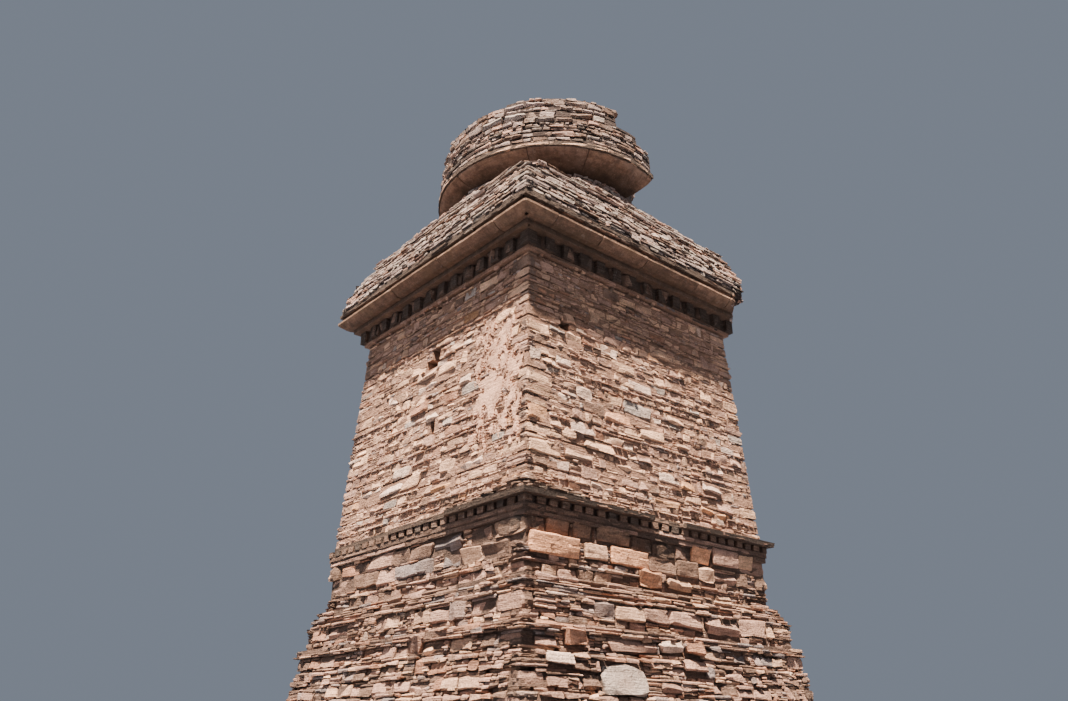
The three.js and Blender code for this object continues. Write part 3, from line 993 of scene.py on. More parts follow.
def scatter_fill(pile, names, broken, count, sizes, mix, rng, everything):
    """Loose fill stones on the faces that broke open; broken(normal, place) picks those faces."""
    spots = []
    for name in names:
        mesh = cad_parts[name].data
        mesh.calc_loop_triangles()
        for tri in mesh.loop_triangles:
            a, b, c = (mesh.vertices[i].co for i in tri.vertices)
            normal = (b - a).cross(c - a)
            area = normal.length / 2
            if area < 1e-6:
                continue
            normal.normalize()
            if broken(normal, (a + b + c) / 3):
                spots.append((area, a.copy(), b.copy(), c.copy(), normal))
    if not spots:
        return
    areas = np.array([spot[0] for spot in spots])
    for pick in rng.choice(len(spots), count, p=areas / areas.sum()):
        _, a, b, c, normal = spots[pick]
        p, q = rng.random(2)
        if p + q > 1:
            p, q = 1 - p, 1 - q
        place = a + (b - a) * p + (c - a) * q
        blocked = everything.ray_cast(place + normal * 0.03, normal, FILL_REACH)[0] is not None
        if blocked or not broken(normal, place):
            continue
        width = rng.uniform(*sizes)
        flat = abs(normal.z) > 0.7
        swing = rng.uniform(0, math.pi)
        if flat:
            along = Vector((math.cos(swing), math.sin(swing), 0))
            outward = Vector((0, 0, math.copysign(1, normal.z)))
            size = (width * 1.2, width * rng.uniform(0.6, 0.9), width * rng.uniform(0.16, 0.28))
        else:
            outward = Vector((normal.x, normal.y, 0)).normalized()
            along = Vector((0, 0, 1)).cross(outward)
            size = (width, width * rng.uniform(0.25, 0.5), width * rng.uniform(0.5, 0.8))
        up = outward.cross(along)
        proud = size[2] * rng.uniform(-0.1, 0.35)
        turn = tuple(rng.normal(0, 0.12, 3))
        form = chosen_form("loose", min(max(size[0] / size[1], 1.5), 4), rng)
        centre = place + outward * proud
        pile.lay("loose", form, centre, (along, up, outward), size, drawn_colour(mix, rng), 0.05, turn)


# Camera: where the photograph was taken from, found by fitting the walls' corners

CAMERA_PLACE = Vector((-9.437, -10.8, 0.113))
CAMERA_TURN = (
    Matrix.Rotation(math.radians(-40.44), 4, "Z")
    @ Matrix.Rotation(math.radians(90 + 24.52), 4, "X")
    @ Matrix.Rotation(math.radians(0.2), 4, "Z")
)


def set_camera():
    lens = bpy.data.cameras.new("photo_camera")
    lens.sensor_width = SENSOR
    lens.lens = LENS
    lens.clip_end = 200
    holder = bpy.data.objects.new("photo_camera", lens)
    holder.matrix_world = Matrix.Translation(CAMERA_PLACE) @ CAMERA_TURN
    bpy.context.scene.collection.objects.link(holder)
    bpy.context.scene.camera = holder


def seen_on(surface, px, py):
    """The place on a packed surface that shows at a pixel of the photograph, or None."""
    focal = LENS / SENSOR * PHOTO_WIDTH
    aim = Vector((px - PHOTO_WIDTH / 2, PHOTO_HEIGHT / 2 - py, -focal))
    aim = (CAMERA_TURN.to_3x3() @ aim).normalized()
    return surface.ray_cast(CAMERA_PLACE, aim, 60)[0]


def keep_stone(wall, side_name, left, right, top, bottom, colour, proud=None, kind=None):
    """A stone that stands out in the photograph: its ends' columns and its middle's rows."""
    side = SIDES.index(side_name)
    row, column = (top + bottom) / 2, (left + right) / 2
    pixels = ((left, row), (right, row), (column, top), (column, bottom))
    spots = [seen_on(wall.surface, *pixel) for pixel in pixels]
    if None in spots:
        return
    ends = [turned((4 - side) % 4, *spot.xy).x for spot in spots[:2]]
    low_u, high_u = min(ends), max(ends)
    low_z, high_z = spots[3].z, spots[2].z
    wall.kept[side].append((low_u, high_u, low_z, high_z))
    u, z = (low_u + high_u) / 2, (low_z + high_z) / 2
    shade = np.array(STONE[colour]) * wall.rng.uniform(0.92, 1.08)
    if proud is None:
        proud = wall.rng.uniform(0.004, 0.014)
    wall.set_stone(side, u, z - wall.wave(side, u, z), high_u - low_u - 0.01, high_z - low_z,
                   wall.habit["stones"], proud, kind, shade)


# Finishes. Patterns finer than about 15 mm are drawn a little coarser than the real grain,
# so that they still show from where the photograph was taken.


def node(tree, kind, feeds=None, **settings):
    """Adds one shader node with its settings, and sets or links its sockets."""
    made = tree.nodes.new("ShaderNode" + kind)
    for name, value in settings.items():
        setattr(made, name, value)
    for socket, value in (feeds or {}).items():
        if isinstance(value, bpy.types.NodeSocket):
            tree.links.new(value, made.inputs[socket])
        else:
            made.inputs[socket].default_value = value
    return made


NOOK = 0.06  # metres across the nooks between stones that gather soil and get painted shade


def stone_finish(name, own=None, wash="#b3866f", washed=0.35, bedding=0.3, lichen=0.1, mud="#5f4a3e",
                 streaks=0.0, rough=0.92, relief=0.03, soil_and_shade=0.6, uneven=0.22, foot_shade=None):
    """Split or dressed schist, dry and weathered: bedding lines, grain, mud in the joints, lichen, soil and
    painted shade in the nooks.

    Its own colour is for a packed wall or plaster; laid stones bring theirs with them.
    """
    material = bpy.data.materials.new(name)
    material.use_nodes = True
    tree = material.node_tree
    tree.nodes.clear()
    place = node(tree, "TexCoord").outputs["Object"]

    # Lighter and darker parts of a stone, a hand across
    tone = node(tree, "TexNoise", {"Vector": place, "Scale": 6.0, "Detail": 5.0, "Roughness": 0.6},
                noise_dimensions="4D")
    shade = node(tree, "MapRange", {"Value": tone.outputs["Fac"], 1: 0.3, 2: 0.7,
                                    3: 1 - uneven, 4: 1 + uneven})

    # Bedding: the schist splits in near level layers of 10 to 40 mm
    flat = node(tree, "Mapping", {"Vector": place, "Scale": (3.0, 3.0, 42.0)}, vector_type="POINT")
    layers = node(tree, "TexNoise", {"Vector": flat.outputs["Vector"], "Scale": 1.0, "Detail": 3.0,
                                     "Roughness": 0.6}, noise_dimensions="4D")
    banded = node(tree, "MapRange", {"Value": layers.outputs["Fac"], 1: 0.3, 2: 0.7,
                                     3: 1 - bedding, 4: 1 + bedding * 0.7})

    # Grain and pits of the broken face
    grain = node(tree, "TexNoise", {"Vector": place, "Scale": 38.0, "Detail": 6.0, "Roughness": 0.7})
    speck = node(tree, "MapRange", {"Value": grain.outputs["Fac"], 1: 0.3, 2: 0.7, 3: 0.55, 4: 1.35})

    # Mud washed down over the stones in broad patches
    patches = node(tree, "TexNoise", {"Vector": place, "Scale": 1.5, "Detail": 7.0, "Roughness": 0.62})
    covered = node(tree, "MapRange", {"Value": patches.outputs["Fac"], 1: 0.46, 2: 0.66, 3: 0.0, 4: washed})
    coats = [(covered, wash)]

    # Pale lichen in blotches of 30 to 100 mm
    blots = node(tree, "TexNoise", {"Vector": place, "Scale": 11.0, "Detail": 8.0, "Roughness": 0.75})
    grown = node(tree, "MapRange", {"Value": blots.outputs["Fac"], 1: 0.56, 2: 0.64, 3: 0.0, 4: lichen})
    coats.append((grown, "#dcc9b9"))

    if streaks:
        # Dark rain streaks, a hand wide, straight down the face
        tall = node(tree, "Mapping", {"Vector": place, "Scale": (9.0, 9.0, 0.8)}, vector_type="POINT")
        runs = node(tree, "TexNoise", {"Vector": tall.outputs["Vector"], "Scale": 1.0, "Detail": 4.0})
        wet = node(tree, "MapRange", {"Value": runs.outputs["Fac"], 1: 0.45, 2: 0.68, 3: 0.0, 4: streaks})
        coats.append((wet, "#4b3a31"))

    if foot_shade:
        # Painted shade under an overhang, darkest at its foot
        foot, top, amount = foot_shade
        level = node(tree, "SeparateXYZ", {"Vector": place}).outputs["Z"]
        uneven_level = node(tree, "Math", {0: patches.outputs["Fac"], 1: (top - foot) * 0.8, 2: level},
                            operation="MULTIPLY_ADD")
        shaded_foot = node(tree, "MapRange", {"Value": uneven_level.outputs[0], 1: foot + 0.4 * (top - foot),
                                         2: top + 0.4 * (top - foot), 3: amount, 4: 0.0})
        coats.append((shaded_foot, "#33271f"))

    if own is None:
        # Every stone has its own colour and pattern, and mud mortar on its sides in the wall
        colour = node(tree, "Attribute", attribute_name="stone_colour").outputs["Color"]
        seed = node(tree, "Attribute", attribute_name="stone_seed").outputs["Fac"]
        tree.links.new(seed, layers.inputs["W"])
        tree.links.new(seed, tone.inputs["W"])
        stand = node(tree, "Attribute", attribute_name="stand").outputs["Fac"]
        buried = node(tree, "MapRange", {"Value": stand, 1: -0.03, 2: -0.004, 3: 0.85, 4: 0.0})
        coats.append((buried, mud))
    else:
        colour = (*linear(own), 1)

    # Soil and soot where stones meet, with painted shade darkening the same nooks
    nook = node(tree, "AmbientOcclusion", {"Distance": NOOK}, samples=4)
    soiled_and_shaded = node(tree, "MapRange", {"Value": nook.outputs["AO"], 1: 0.3, 2: 0.8, 3: soil_and_shade, 4: 0.0})
    coats.append((soiled_and_shaded, "#382f2b"))

    for tint in (shade, banded, speck):
        colour = node(tree, "Mix", {0: 1.0, 6: colour, 7: tint.outputs["Result"]},
                      data_type="RGBA", blend_type="MULTIPLY").outputs[2]
    for mask, coat in coats:
        colour = node(tree, "Mix", {0: mask.outputs["Result"], 6: colour, 7: (*linear(coat), 1)},
                      data_type="RGBA").outputs[2]

    lumps = node(tree, "TexNoise", {"Vector": place, "Scale": 15.0, "Detail": 3.0, "Roughness": 0.6})
    lumpy = node(tree, "Math", {0: lumps.outputs["Fac"], 1: 1.6}, operation="MULTIPLY")
    rugged = node(tree, "Math", {0: grain.outputs["Fac"], 1: lumpy.outputs[0]}, operation="ADD")
    height = node(tree, "Math", {0: layers.outputs["Fac"], 1: rugged.outputs[0]}, operation="ADD")
    bump = node(tree, "Bump", {"Strength": 0.9, "Distance": relief, "Height": height.outputs[0]})
    worn = node(tree, "MapRange", {"Value": grain.outputs["Fac"], 3: rough - 0.1, 4: 1.0})
    surface = node(tree, "BsdfPrincipled", {"Base Color": colour, "Roughness": worn.outputs["Result"],
                                            "Specular IOR Level": 0.25, "Normal": bump.outputs["Normal"]})
    node(tree, "OutputMaterial", {"Surface": surface.outputs["BSDF"]})
    return material


def plain_finish(name, colour):
    """The studio floor: matt and pale, hardly uneven."""
    material = bpy.data.materials.new(name)
    material.use_nodes = True
    tree = material.node_tree
    tree.nodes.clear()
    place = node(tree, "TexCoord").outputs["Object"]
    cloud = node(tree, "TexNoise", {"Vector": place, "Scale": 0.6, "Detail": 3.0})
    shade = node(tree, "MapRange", {"Value": cloud.outputs["Fac"], 3: 0.97, 4: 1.03})
    tint = node(tree, "Mix", {0: 1.0, 6: (*linear(colour), 1), 7: shade.outputs["Result"]},
                data_type="RGBA", blend_type="MULTIPLY").outputs[2]
    surface = node(tree, "BsdfPrincipled", {"Base Color": tint, "Roughness": 0.9})
    node(tree, "OutputMaterial", {"Surface": surface.outputs["BSDF"]})
    return material


# Wall stones: schist and limestone rubble, split by hammer, with a pink mud wash
wall_stone = stone_finish("split_wall_stone", wash="#d0a58d", washed=0.4, lichen=0.2, mud="#7b655a",
                          soil_and_shade=0.34, uneven=0.32)
# Podium and plinth stones: the same, rougher and more soiled, with more painted shade in their nooks
base_stone = stone_finish("rough_base_stone", wash="#80604e", washed=0.5, bedding=0.35, lichen=0.12)
# Roof and drum stones: grey with lichen
roof_stone = stone_finish("lichened_roof_stone", wash="#a18c80", washed=0.5, bedding=0.35, lichen=0.4,
                          mud="#4a403b", soil_and_shade=0.75)
# Thin schist slabs, split and roughly trimmed
slab_stone = stone_finish("trimmed_slab_stone", wash="#5f4b40", washed=0.4, bedding=0.5, lichen=0.15)
# The eaves' cove: brown schist dressed smooth, with rain streaks and painted shade towards its foot
cove_stone = stone_finish("dressed_cove_stone", wash="#786049", washed=0.6, lichen=0.15,
                          streaks=0.5, rough=0.85, relief=0.01, soil_and_shade=0.3, uneven=0.35,
                          foot_shade=(COVE_FOOT + 0.06, COVE_FOOT + 0.2, 0.6))
# Ledge slabs round the drum's foot: pale schist, weathered clean
ledge_stone = stone_finish("pale_ledge_stone", wash="#c2a48f", washed=0.5, bedding=0.25, lichen=0.15,
                           soil_and_shade=0.4)
# The drum's cove: the same stone as the eaves, with a paler wash as painted light, less soil and painted
# shade in its nooks, and painted shade towards its foot
dome_cove_stone = stone_finish("painted_light_cove_stone", wash="#8b7365", washed=0.6, lichen=0.15,
                               streaks=0.55, rough=0.85, relief=0.012, soil_and_shade=0.2, uneven=0.35,
                               foot_shade=(NECK_FOOT + 0.06, NECK_FOOT + 0.24, 0.8))
# Mud plaster, thrown on and smoothed by hand, pink from the local soil
plaster = stone_finish("pink_mud_plaster", own="#dba88c", wash="#a97f68", washed=0.7, uneven=0.3,
                       bedding=0.12, relief=0.012, soil_and_shade=0.5)
# Mud mortar behind and between the stones
wall_bed = stone_finish("pink_mud_bed", own="#9a7560", washed=0.2, bedding=0.4, lichen=0.0)
base_bed = stone_finish("brown_mud_bed", own="#5f4b40", washed=0.2, bedding=0.4, lichen=0.0)
roof_bed = stone_finish("grey_mud_bed", own="#3f302a", wash="#4a3a33", washed=0.3, bedding=0.4)
# Packed slabs and coves, which show in the joints of the slabs over them
cove_bed = stone_finish("brown_cove_bed", own="#6b5344", wash="#4b3a31", washed=0.5, lichen=0.05,
                        streaks=0.4, relief=0.01)
slab_bed = stone_finish("shaded_slab_bed", own="#54443a", wash="#463830", washed=0.4, bedding=0.5,
                        lichen=0.05)


# Lights: where each comes from, seen from above and in height, how soft and how strong
KEY_SIDE = math.radians(217.3)
KEY_HEIGHT = math.radians(66)
KEY_SOFTNESS = math.radians(3)
KEY_STRENGTH = 24.5
FLOOR_STRENGTH = 1.8  # the same light as the floor gets it, so that the floor doesn't light the walls
FILL_HEIGHT = math.radians(35)
FILL_SOFTNESS = math.radians(60)
FILL_STRENGTH = 1.5
LEFT_LIGHT_SIDE = math.radians(175)
LEFT_LIGHT_STRENGTH = 0.9
LIGHT_AWAY = 30
FLOOR_RADIUS = 60
SKY_STRENGTH = 0.31


def sun(name, strength, softness, side, height, colour):
    """A far light from a side and height."""
    lamp = bpy.data.lights.new(name, "SUN")
    lamp.energy = strength
    lamp.angle = softness
    lamp.color = linear(colour)
    holder = bpy.data.objects.new(name, lamp)
    toward = Vector((math.cos(side) * math.cos(height), math.sin(side) * math.cos(height), math.sin(height)))
    turn = toward.to_track_quat("Z", "Y").to_matrix().to_4x4()
    holder.matrix_world = Matrix.Translation(toward * LIGHT_AWAY) @ turn
    bpy.context.scene.collection.objects.link(holder)
    return holder


def share_light(holder, thing, state):
    """The light reaches only the thing, or all but the thing."""
    chosen = bpy.data.collections.new(holder.name + "_receivers")
    chosen.objects.link(thing)
    chosen.collection_objects[0].light_linking.link_state = state
    holder.light_linking.receiver_collection = chosen


def set_stage():
    """Plain pale floor, a key light from high up in front of the near corner, and soft fill."""
    bm = bmesh.new()
    bmesh.ops.create_circle(bm, cap_ends=True, segments=96, radius=FLOOR_RADIUS)
    mesh = bpy.data.meshes.new("studio_floor")
    bm.to_mesh(mesh)
    bm.free()
    mesh.materials.append(plain_finish("pale_floor", "#d9d6d1"))
    floor = bpy.data.objects.new("studio_floor", mesh)
    bpy.context.scene.collection.objects.link(floor)
    world = bpy.data.worlds.new("studio_sky")
    world.use_nodes = True
    world.node_tree.nodes["Background"].inputs["Color"].default_value = (*linear("#cddaf0"), 1)
    world.node_tree.nodes["Background"].inputs["Strength"].default_value = SKY_STRENGTH
    bpy.context.scene.world = world
    key = sun("key_light", KEY_STRENGTH, KEY_SOFTNESS, KEY_SIDE, KEY_HEIGHT, "#fff2e2")
    share_light(key, floor, "EXCLUDE")
    low_key = sun("floor_light", FLOOR_STRENGTH, KEY_SOFTNESS, KEY_SIDE, KEY_HEIGHT, "#f2f4ff")
    share_light(low_key, floor, "INCLUDE")
    sun("fill_light", FILL_STRENGTH, FILL_SOFTNESS, KEY_SIDE + math.pi, FILL_HEIGHT, "#f2f5ff")
    sun("side_light", LEFT_LIGHT_STRENGTH, FILL_SOFTNESS, LEFT_LIGHT_SIDE, FILL_HEIGHT, "#eef3ff")


set_camera()
set_stage()

everything = surface_of(*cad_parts)
WHOLE_PLACE = 1.3  # how far along the front its courses are felt, clear of holes and losses

# Podium: rough courses, with a course of ledge slabs near its top
PODIUM_LEDGE = (1.34, 1.46)
podium_rng = np.random.default_rng(21)
podium_surface = all_sides("podium_wall")


def podium_out(z):
    return wall_out(podium_surface, 0, WHOLE_PLACE, z)


podium_courses = felt_courses(PODIUM_FOOT + 0.01, PODIUM_LEDGE[0], podium_out, PODIUM_HABIT, podium_rng)
podium_courses += planned_courses(PODIUM_LEDGE[1], PODIUM_TOP, PODIUM_HABIT, podium_rng)
podium = Wall("podium_stones", "podium_wall", PODIUM_FOOT, PODIUM_TOP, PODIUM_HABIT, 22, podium_courses)
# Stones that stand out in the photograph, with how far they stand out and their form for some
for left, right, top, bottom, colour, *manner in (
    (600, 645, 662, 697, "pebble", 0.07, "boulder"),
    (543, 570, 652, 664, "chalk", 0.08),
    (614, 642, 607, 622, "sand", 0.05),
    (704, 738, 620, 636, "rose", 0.05),
    (738, 764, 620, 637, "rose", 0.04),
    (656, 680, 641, 653, "chalk", 0.05),
    (682, 698, 641, 655, "clay", 0.06),
    (668, 700, 612, 628, "rose", 0.05),
    (606, 655, 640, 652, "rose", 0.05),
    (682, 704, 660, 672, "rose", 0.05),
    (562, 582, 628, 645, "clay", 0.06),
):
    keep_stone(podium, "front", left, right, top, bottom, colour, *manner)
podium.build(base_stone, "podium_stone")

ledge_rng = np.random.default_rng(31)  # for all the slab courses that go round the four sides
podium_ledge = Wall("podium_ledge_stones", "podium_wall", *PODIUM_LEDGE, FLAT_HABIT, 32)
podium_ledge.build(base_stone, "podium_stone")

# Plinth: base slabs, dressed and rubble courses, then two fillet slabs
PLINTH_WALL = (2.05, 2.78)  # foot and top of the courses between its slabs
# Each course's foot, its height and whether it is a thin one
plinth_courses = [
    (2.05, 0.15, False),
    (2.20, 0.05, True),
    (2.25, 0.07, False),
    (2.32, 0.23, False),
    (2.55, 0.23, False),
]
plinth = Wall("plinth_stones", "plinth_wall", *PLINTH_WALL, PLINTH_HABIT, 41, plinth_courses)
for left, right, top, bottom, colour, *manner in (
    (527, 577, 535, 556, "peach", 0.08, "dressed"),
    (530, 543, 516, 531, "umber", 0.03, "dressed"),
    (545, 568, 518, 535, "cocoa", 0.03, "dressed"),
    (571, 591, 522, 539, "cocoa", 0.025, "dressed"),
    (595, 628, 527, 544, "cocoa", 0.0, "dressed"),
    (583, 606, 545, 560, "sand", 0.06, "dressed"),
    (609, 646, 550, 567, "peach", 0.06, "dressed"),
    (690, 708, 547, 564, "peach", 0.05, "dressed"),
    (710, 735, 550, 567, "rose", 0.03, "dressed"),
    (736, 750, 556, 570, "cream", 0.05, "dressed"),
    (638, 660, 572, 588, "peach", 0.07),
    (665, 690, 580, 590, "cream", 0.06),
    (676, 697, 562, 578, "umber", 0.05, "dressed"),
):
    keep_stone(plinth, "front", left, right, top, bottom, colour, *manner)
keep_stone(plinth, "left", 499, 524, 518, 535, "soot", 0.05, "boulder")
# Painted shade of the cornice on the top course: their side, ends, foot and top, and how light they stay
plinth.stains_and_shade = [
    (0, -2.6, 1.2, 2.55, 2.78, 0.55),
    (3, 1.4, 2.6, 2.55, 2.78, 0.55),
]
plinth.build(base_stone, "plinth_stone")

plinth_base = Wall("plinth_base_stones", "plinth_wall", PLINTH_FOOT, PLINTH_WALL[0], FLAT_HABIT, 42)
plinth_base.build(base_stone, "plinth_stone")

FILLET_HALF = 2.54
fillets = Pile("plinth_fillet_slabs")
for level, thick, nose in ((2.782, 0.072, 2.525), (2.858, 0.074, FILLET_HALF)):
    lay_slabs(fillets, plinth.surface, SquarePath(FILLET_HALF), level, thin_section(thick, 0.2), nose,
              (0.5, 1.1), FILLET_STONES, ledge_rng, chip=0.014)
fillets.finish(slab_stone, "plinth_stone")

DENTIL_HALF = 2.55
DENTIL_COUNT = 23
DENTIL_WIDTH = 0.122
teeth_rng = np.random.default_rng(51)
dentil_surface = all_sides("plinth_dentils")
for side, name in enumerate(SIDES):
    dentils = Pile(f"plinth_teeth_{name}")
    lay_teeth(dentils, dentil_surface, side, DENTIL_HALF, DENTIL_COUNT, DENTIL_WIDTH,
              DENTIL_FOOT, DENTIL_TOP, TEETH_STONES, teeth_rng)
    dentils.finish(slab_stone, "slab_stone")

CORNICE_HALF = 2.64
cornice = Pile("plinth_cornice_slabs")
cornice_surface = all_sides("plinth_cornice")
lay_slabs(cornice, cornice_surface, SquarePath(CORNICE_HALF), CORNICE_FOOT + 0.004,
          thin_section(0.064, 0.2), 2.645, (0.45, 1.1), FILLET_STONES, ledge_rng, chip=0.03, loss=0.11)
# Dark slabs that lie loose on the cornice near its left front corner
for level, nose, near in ((0.002, 2.68, 1.5), (0.052, 2.67, 0.9), (0.102, 2.63, 0.5)):
    lay_slabs(cornice, cornice_surface, SquarePath(2.6), CORNICE_TOP + level, thin_section(0.046, 0.16), nose,
              (0.35, 0.8), SHADED_STONES, ledge_rng, chip=0.07, near=near, feel=-0.03 - level, loss=0.2,
              legs=(0.12, 0.5))
cornice.finish(slab_stone, "slab_stone")

# Body: tall leaning faces of mixed stones and slivers
body_top = BODY_TOP - BODY_LEDGE
body_surface = all_sides("body_wall")


def body_out(z):
    return wall_out(body_surface, 0, WHOLE_PLACE, z)


body_courses = felt_courses(BODY_FOOT, body_top, body_out, BODY_HABIT, np.random.default_rng(60))
body = Wall("body_stones", "body_wall", BODY_FOOT, body_top, BODY_HABIT, 61, body_courses)
body.stains_and_shade = [
    (3, 1.6, 2.6, 4.32, 4.62, 0.55),
    (0, -2.6, -2.2, 4.32, 4.62, 0.55),
]
for left, right, top, bottom, colour, *manner in (
    (458, 483, 457, 470, "chalk"),
    (427, 440, 409, 421, "chalk"),
    (411, 426, 398, 408, "cream"),
    (383, 403, 483, 494, "chalk"),
    (402, 421, 476, 488, "cream"),
    (361, 381, 489, 499, "chalk"),
    (355, 369, 457, 466, "cream"),
    (395, 412, 467, 477, "chalk"),
    (361, 380, 384, 392, "cream"),
    (502, 518, 474, 484, "amber"),
    (440, 459, 393, 403, "clay"),
    (414, 428, 366, 375, "cream"),
    (419, 437, 370, 380, "sand"),
    (439, 456, 363, 372, "cream"),
    (463, 469, 351, 363, "cream"),
    (460, 471, 374, 384, "chalk"),
    (462, 481, 383, 393, "pebble"),
    (419, 440, 381, 391, "chalk"),
    (503, 509, 380, 391, "chalk"),
    (495, 515, 309, 320, "cream"),
    (499, 519, 330, 339, "cream"),
    (431, 456, 483, 491, "amber"),
    (414, 424, 440, 447, "cream"),
    (384, 401, 442, 451, "cream"),
    (393, 404, 424, 434, "cream"),
    (441, 456, 459, 473, "sand"),
    (418, 432, 487, 496, "sand"),
    (358, 380, 401, 412, "cream"),
    (398, 413, 415, 424, "cream"),
    (411, 428, 403, 416, "clay"),
    (440, 445, 294, 309, "soot", -0.03),  # a slot whose shade is painted by a soot-coloured stone sunk into it
):
    keep_stone(body, "left", left, right, top, bottom, colour, *manner)
for left, right, top, bottom, colour in (
    (604, 634, 411, 424, "peach"),
    (570, 594, 421, 434, "chalk"),
    (561, 575, 427, 438, "cream"),
    (528, 560, 440, 455, "cream"),
    (564, 592, 446, 460, "sand"),
    (584, 612, 441, 452, "cream"),
    (525, 549, 405, 420, "amber"),
    (527, 549, 322, 333, "cream"),
    (566, 582, 335, 344, "cream"),
    (600, 618, 347, 357, "chalk"),
    (628, 650, 383, 393, "chalk"),
    (619, 633, 379, 387, "cream"),
    (602, 621, 395, 405, "cream"),
    (624, 650, 405, 417, "pebble"),
    (667, 682, 415, 425, "cream"),
    (653, 679, 498, 507, "amber"),
    (547, 569, 459, 471, "chalk"),
    (659, 679, 475, 484, "chalk"),
    (681, 697, 482, 491, "amber"),
    (702, 719, 482, 493, "chalk"),
    (718, 756, 501, 514, "sand"),
    (700, 724, 508, 518, "amber"),
    (729, 752, 480, 492, "rose"),
    (614, 646, 463, 475, "cream"),
    (590, 613, 483, 492, "chalk"),
    (563, 574, 313, 324, "sand"),
    (589, 609, 315, 326, "sand"),
    (649, 667, 348, 358, "sand"),
    (556, 571, 357, 366, "chalk"),
    (576, 591, 387, 399, "chalk"),
    (527, 551, 373, 383, "cream"),
    (583, 605, 403, 416, "umber"),
    (700, 718, 358, 372, "rose"),
    (524, 541, 346, 358, "chalk"),
    (640, 662, 430, 440, "cream"),
):
    keep_stone(body, "front", left, right, top, bottom, colour)
body.build(wall_stone, "body_stone")

PLASTER_ENDS = (1.15, 2.3)  # along the left side
PLASTER_HEIGHTS = (3.85, 5.9)
plaster_sheet("plaster_remains", body.surface, SIDES.index("left"), *PLASTER_ENDS, *PLASTER_HEIGHTS, 4.0)

LEDGE_HALF = 2.36
body_ledge = Pile("body_ledge_slabs")
lay_slabs(body_ledge, body.surface, SquarePath(LEDGE_HALF), body_top + 0.004,
          thin_section(0.056, 0.15), LEDGE_HALF, (0.35, 0.9), SLAB_STONES, ledge_rng, chip=0.02,
          legs=(0.3, 0.5))
body_ledge.finish(slab_stone, "body_stone")

# Eaves: bracket stones, then smooth slabs that slant out
BRACKET_HALF = 2.42
BRACKET_COUNT = 13
BRACKET_WIDTH = 0.175
bracket_surface = all_sides("eaves_brackets")
for side, name in enumerate(SIDES):
    brackets = Pile(f"eaves_bracket_stones_{name}")
    lay_teeth(brackets, bracket_surface, side, BRACKET_HALF, BRACKET_COUNT, BRACKET_WIDTH,
              BRACKET_FOOT, BRACKET_TOP, BRACKET_STONES, teeth_rng, rough=0.04)
    brackets.finish(slab_stone, "eaves_stone")

COVE_BASE_HALF = 2.52  # a plain course of slabs, with the slanting course on it
COVE_LIP_HALF = 2.747
COVE_FLARE = 0.147  # how far the cove slants out, and how high it rises
COVE_RISE = 0.095
CLEAR = 0.012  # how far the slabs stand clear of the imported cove
cove_surface = all_sides("eaves_cove")
cove = Pile("eaves_cove_slabs")
lay_slabs(cove, cove_surface, SquarePath(COVE_BASE_HALF, 0.03), COVE_FOOT + 0.002,
          thin_section(0.094, 0.2), COVE_BASE_HALF, (0.8, 1.4), COVE_STONES, ledge_rng, chip=0.008,
          joint=0.012)
cove_section = [(-0.24, -CLEAR)]
for t in np.linspace(0, 1, 5):
    cove_section.append((CLEAR - COVE_FLARE * (1 - float(t)), COVE_RISE * float(t) - CLEAR))
cove_section += [(CLEAR, 0.116), (-0.24, 0.116)]
lay_slabs(cove, cove_surface, SquarePath(COVE_LIP_HALF, 0.04), COVE_FOOT + 0.101, cove_section,
          COVE_LIP_HALF, (0.8, 1.4), COVE_STONES, ledge_rng, chip=0.010, joint=0.012, loss=0.2,
          feel=0.11, legs=(0.45, 0.8))
cove.finish(cove_stone, "eaves_stone")

# Thin slabs over the cove, with a dark recess under them
cover_surface = all_sides("roof_cover_slabs")
RECESS_RISE = 0.11
RECESS_HABIT = ROOF_HABIT | {
    "course": (0.03, 0.05),
    "block": (3.0, 8.0),
    "proud": (0.0, 0.02),
    "stones": SHADED_STONES,
    "chips": SHADED_STONES,
}
cover_chips = Wall("cover_recess_stones", "roof_cover_slabs", COVER_FOOT, COVER_FOOT + RECESS_RISE,
                   RECESS_HABIT, 71)
cover_chips.build(roof_stone, "slab_stone")
COVER_HALF = 2.73
covers = Pile("roof_cover_edge_slabs")
for level, thick, nose in (
    (0.106, 0.032, 2.76),
    (0.14, 0.028, 2.74),
    (0.172, 0.032, 2.755),
    (0.208, 0.03, 2.735),
):
    lay_slabs(covers, cover_surface, SquarePath(COVER_HALF), COVER_FOOT + level,
              thin_section(thick, 0.2), nose, (0.3, 0.9), COVER_STONES, ledge_rng, chip=0.025, loss=0.1)
covers.finish(slab_stone, "slab_stone")

# Roof: steep rubble courses, a course of thin slabs, then steps that go from square to round
ROOF_EDGE = ROOF_TOP - 0.19  # foot of the thin slabs
roof_rng = np.random.default_rng(81)
roof_courses = planned_courses(ROOF_FOOT, ROOF_EDGE, ROOF_HABIT, roof_rng)
roof = Wall("roof_slope_stones", "roof_slope", ROOF_FOOT, ROOF_EDGE, ROOF_HABIT, 82, roof_courses)
roof.build(roof_stone, "roof_stone")
roof_edge = Wall("roof_edge_slabs", "roof_slope", ROOF_EDGE, ROOF_TOP, ROOF_EDGE_HABIT, 83)
roof_edge.build(roof_stone, "roof_stone")

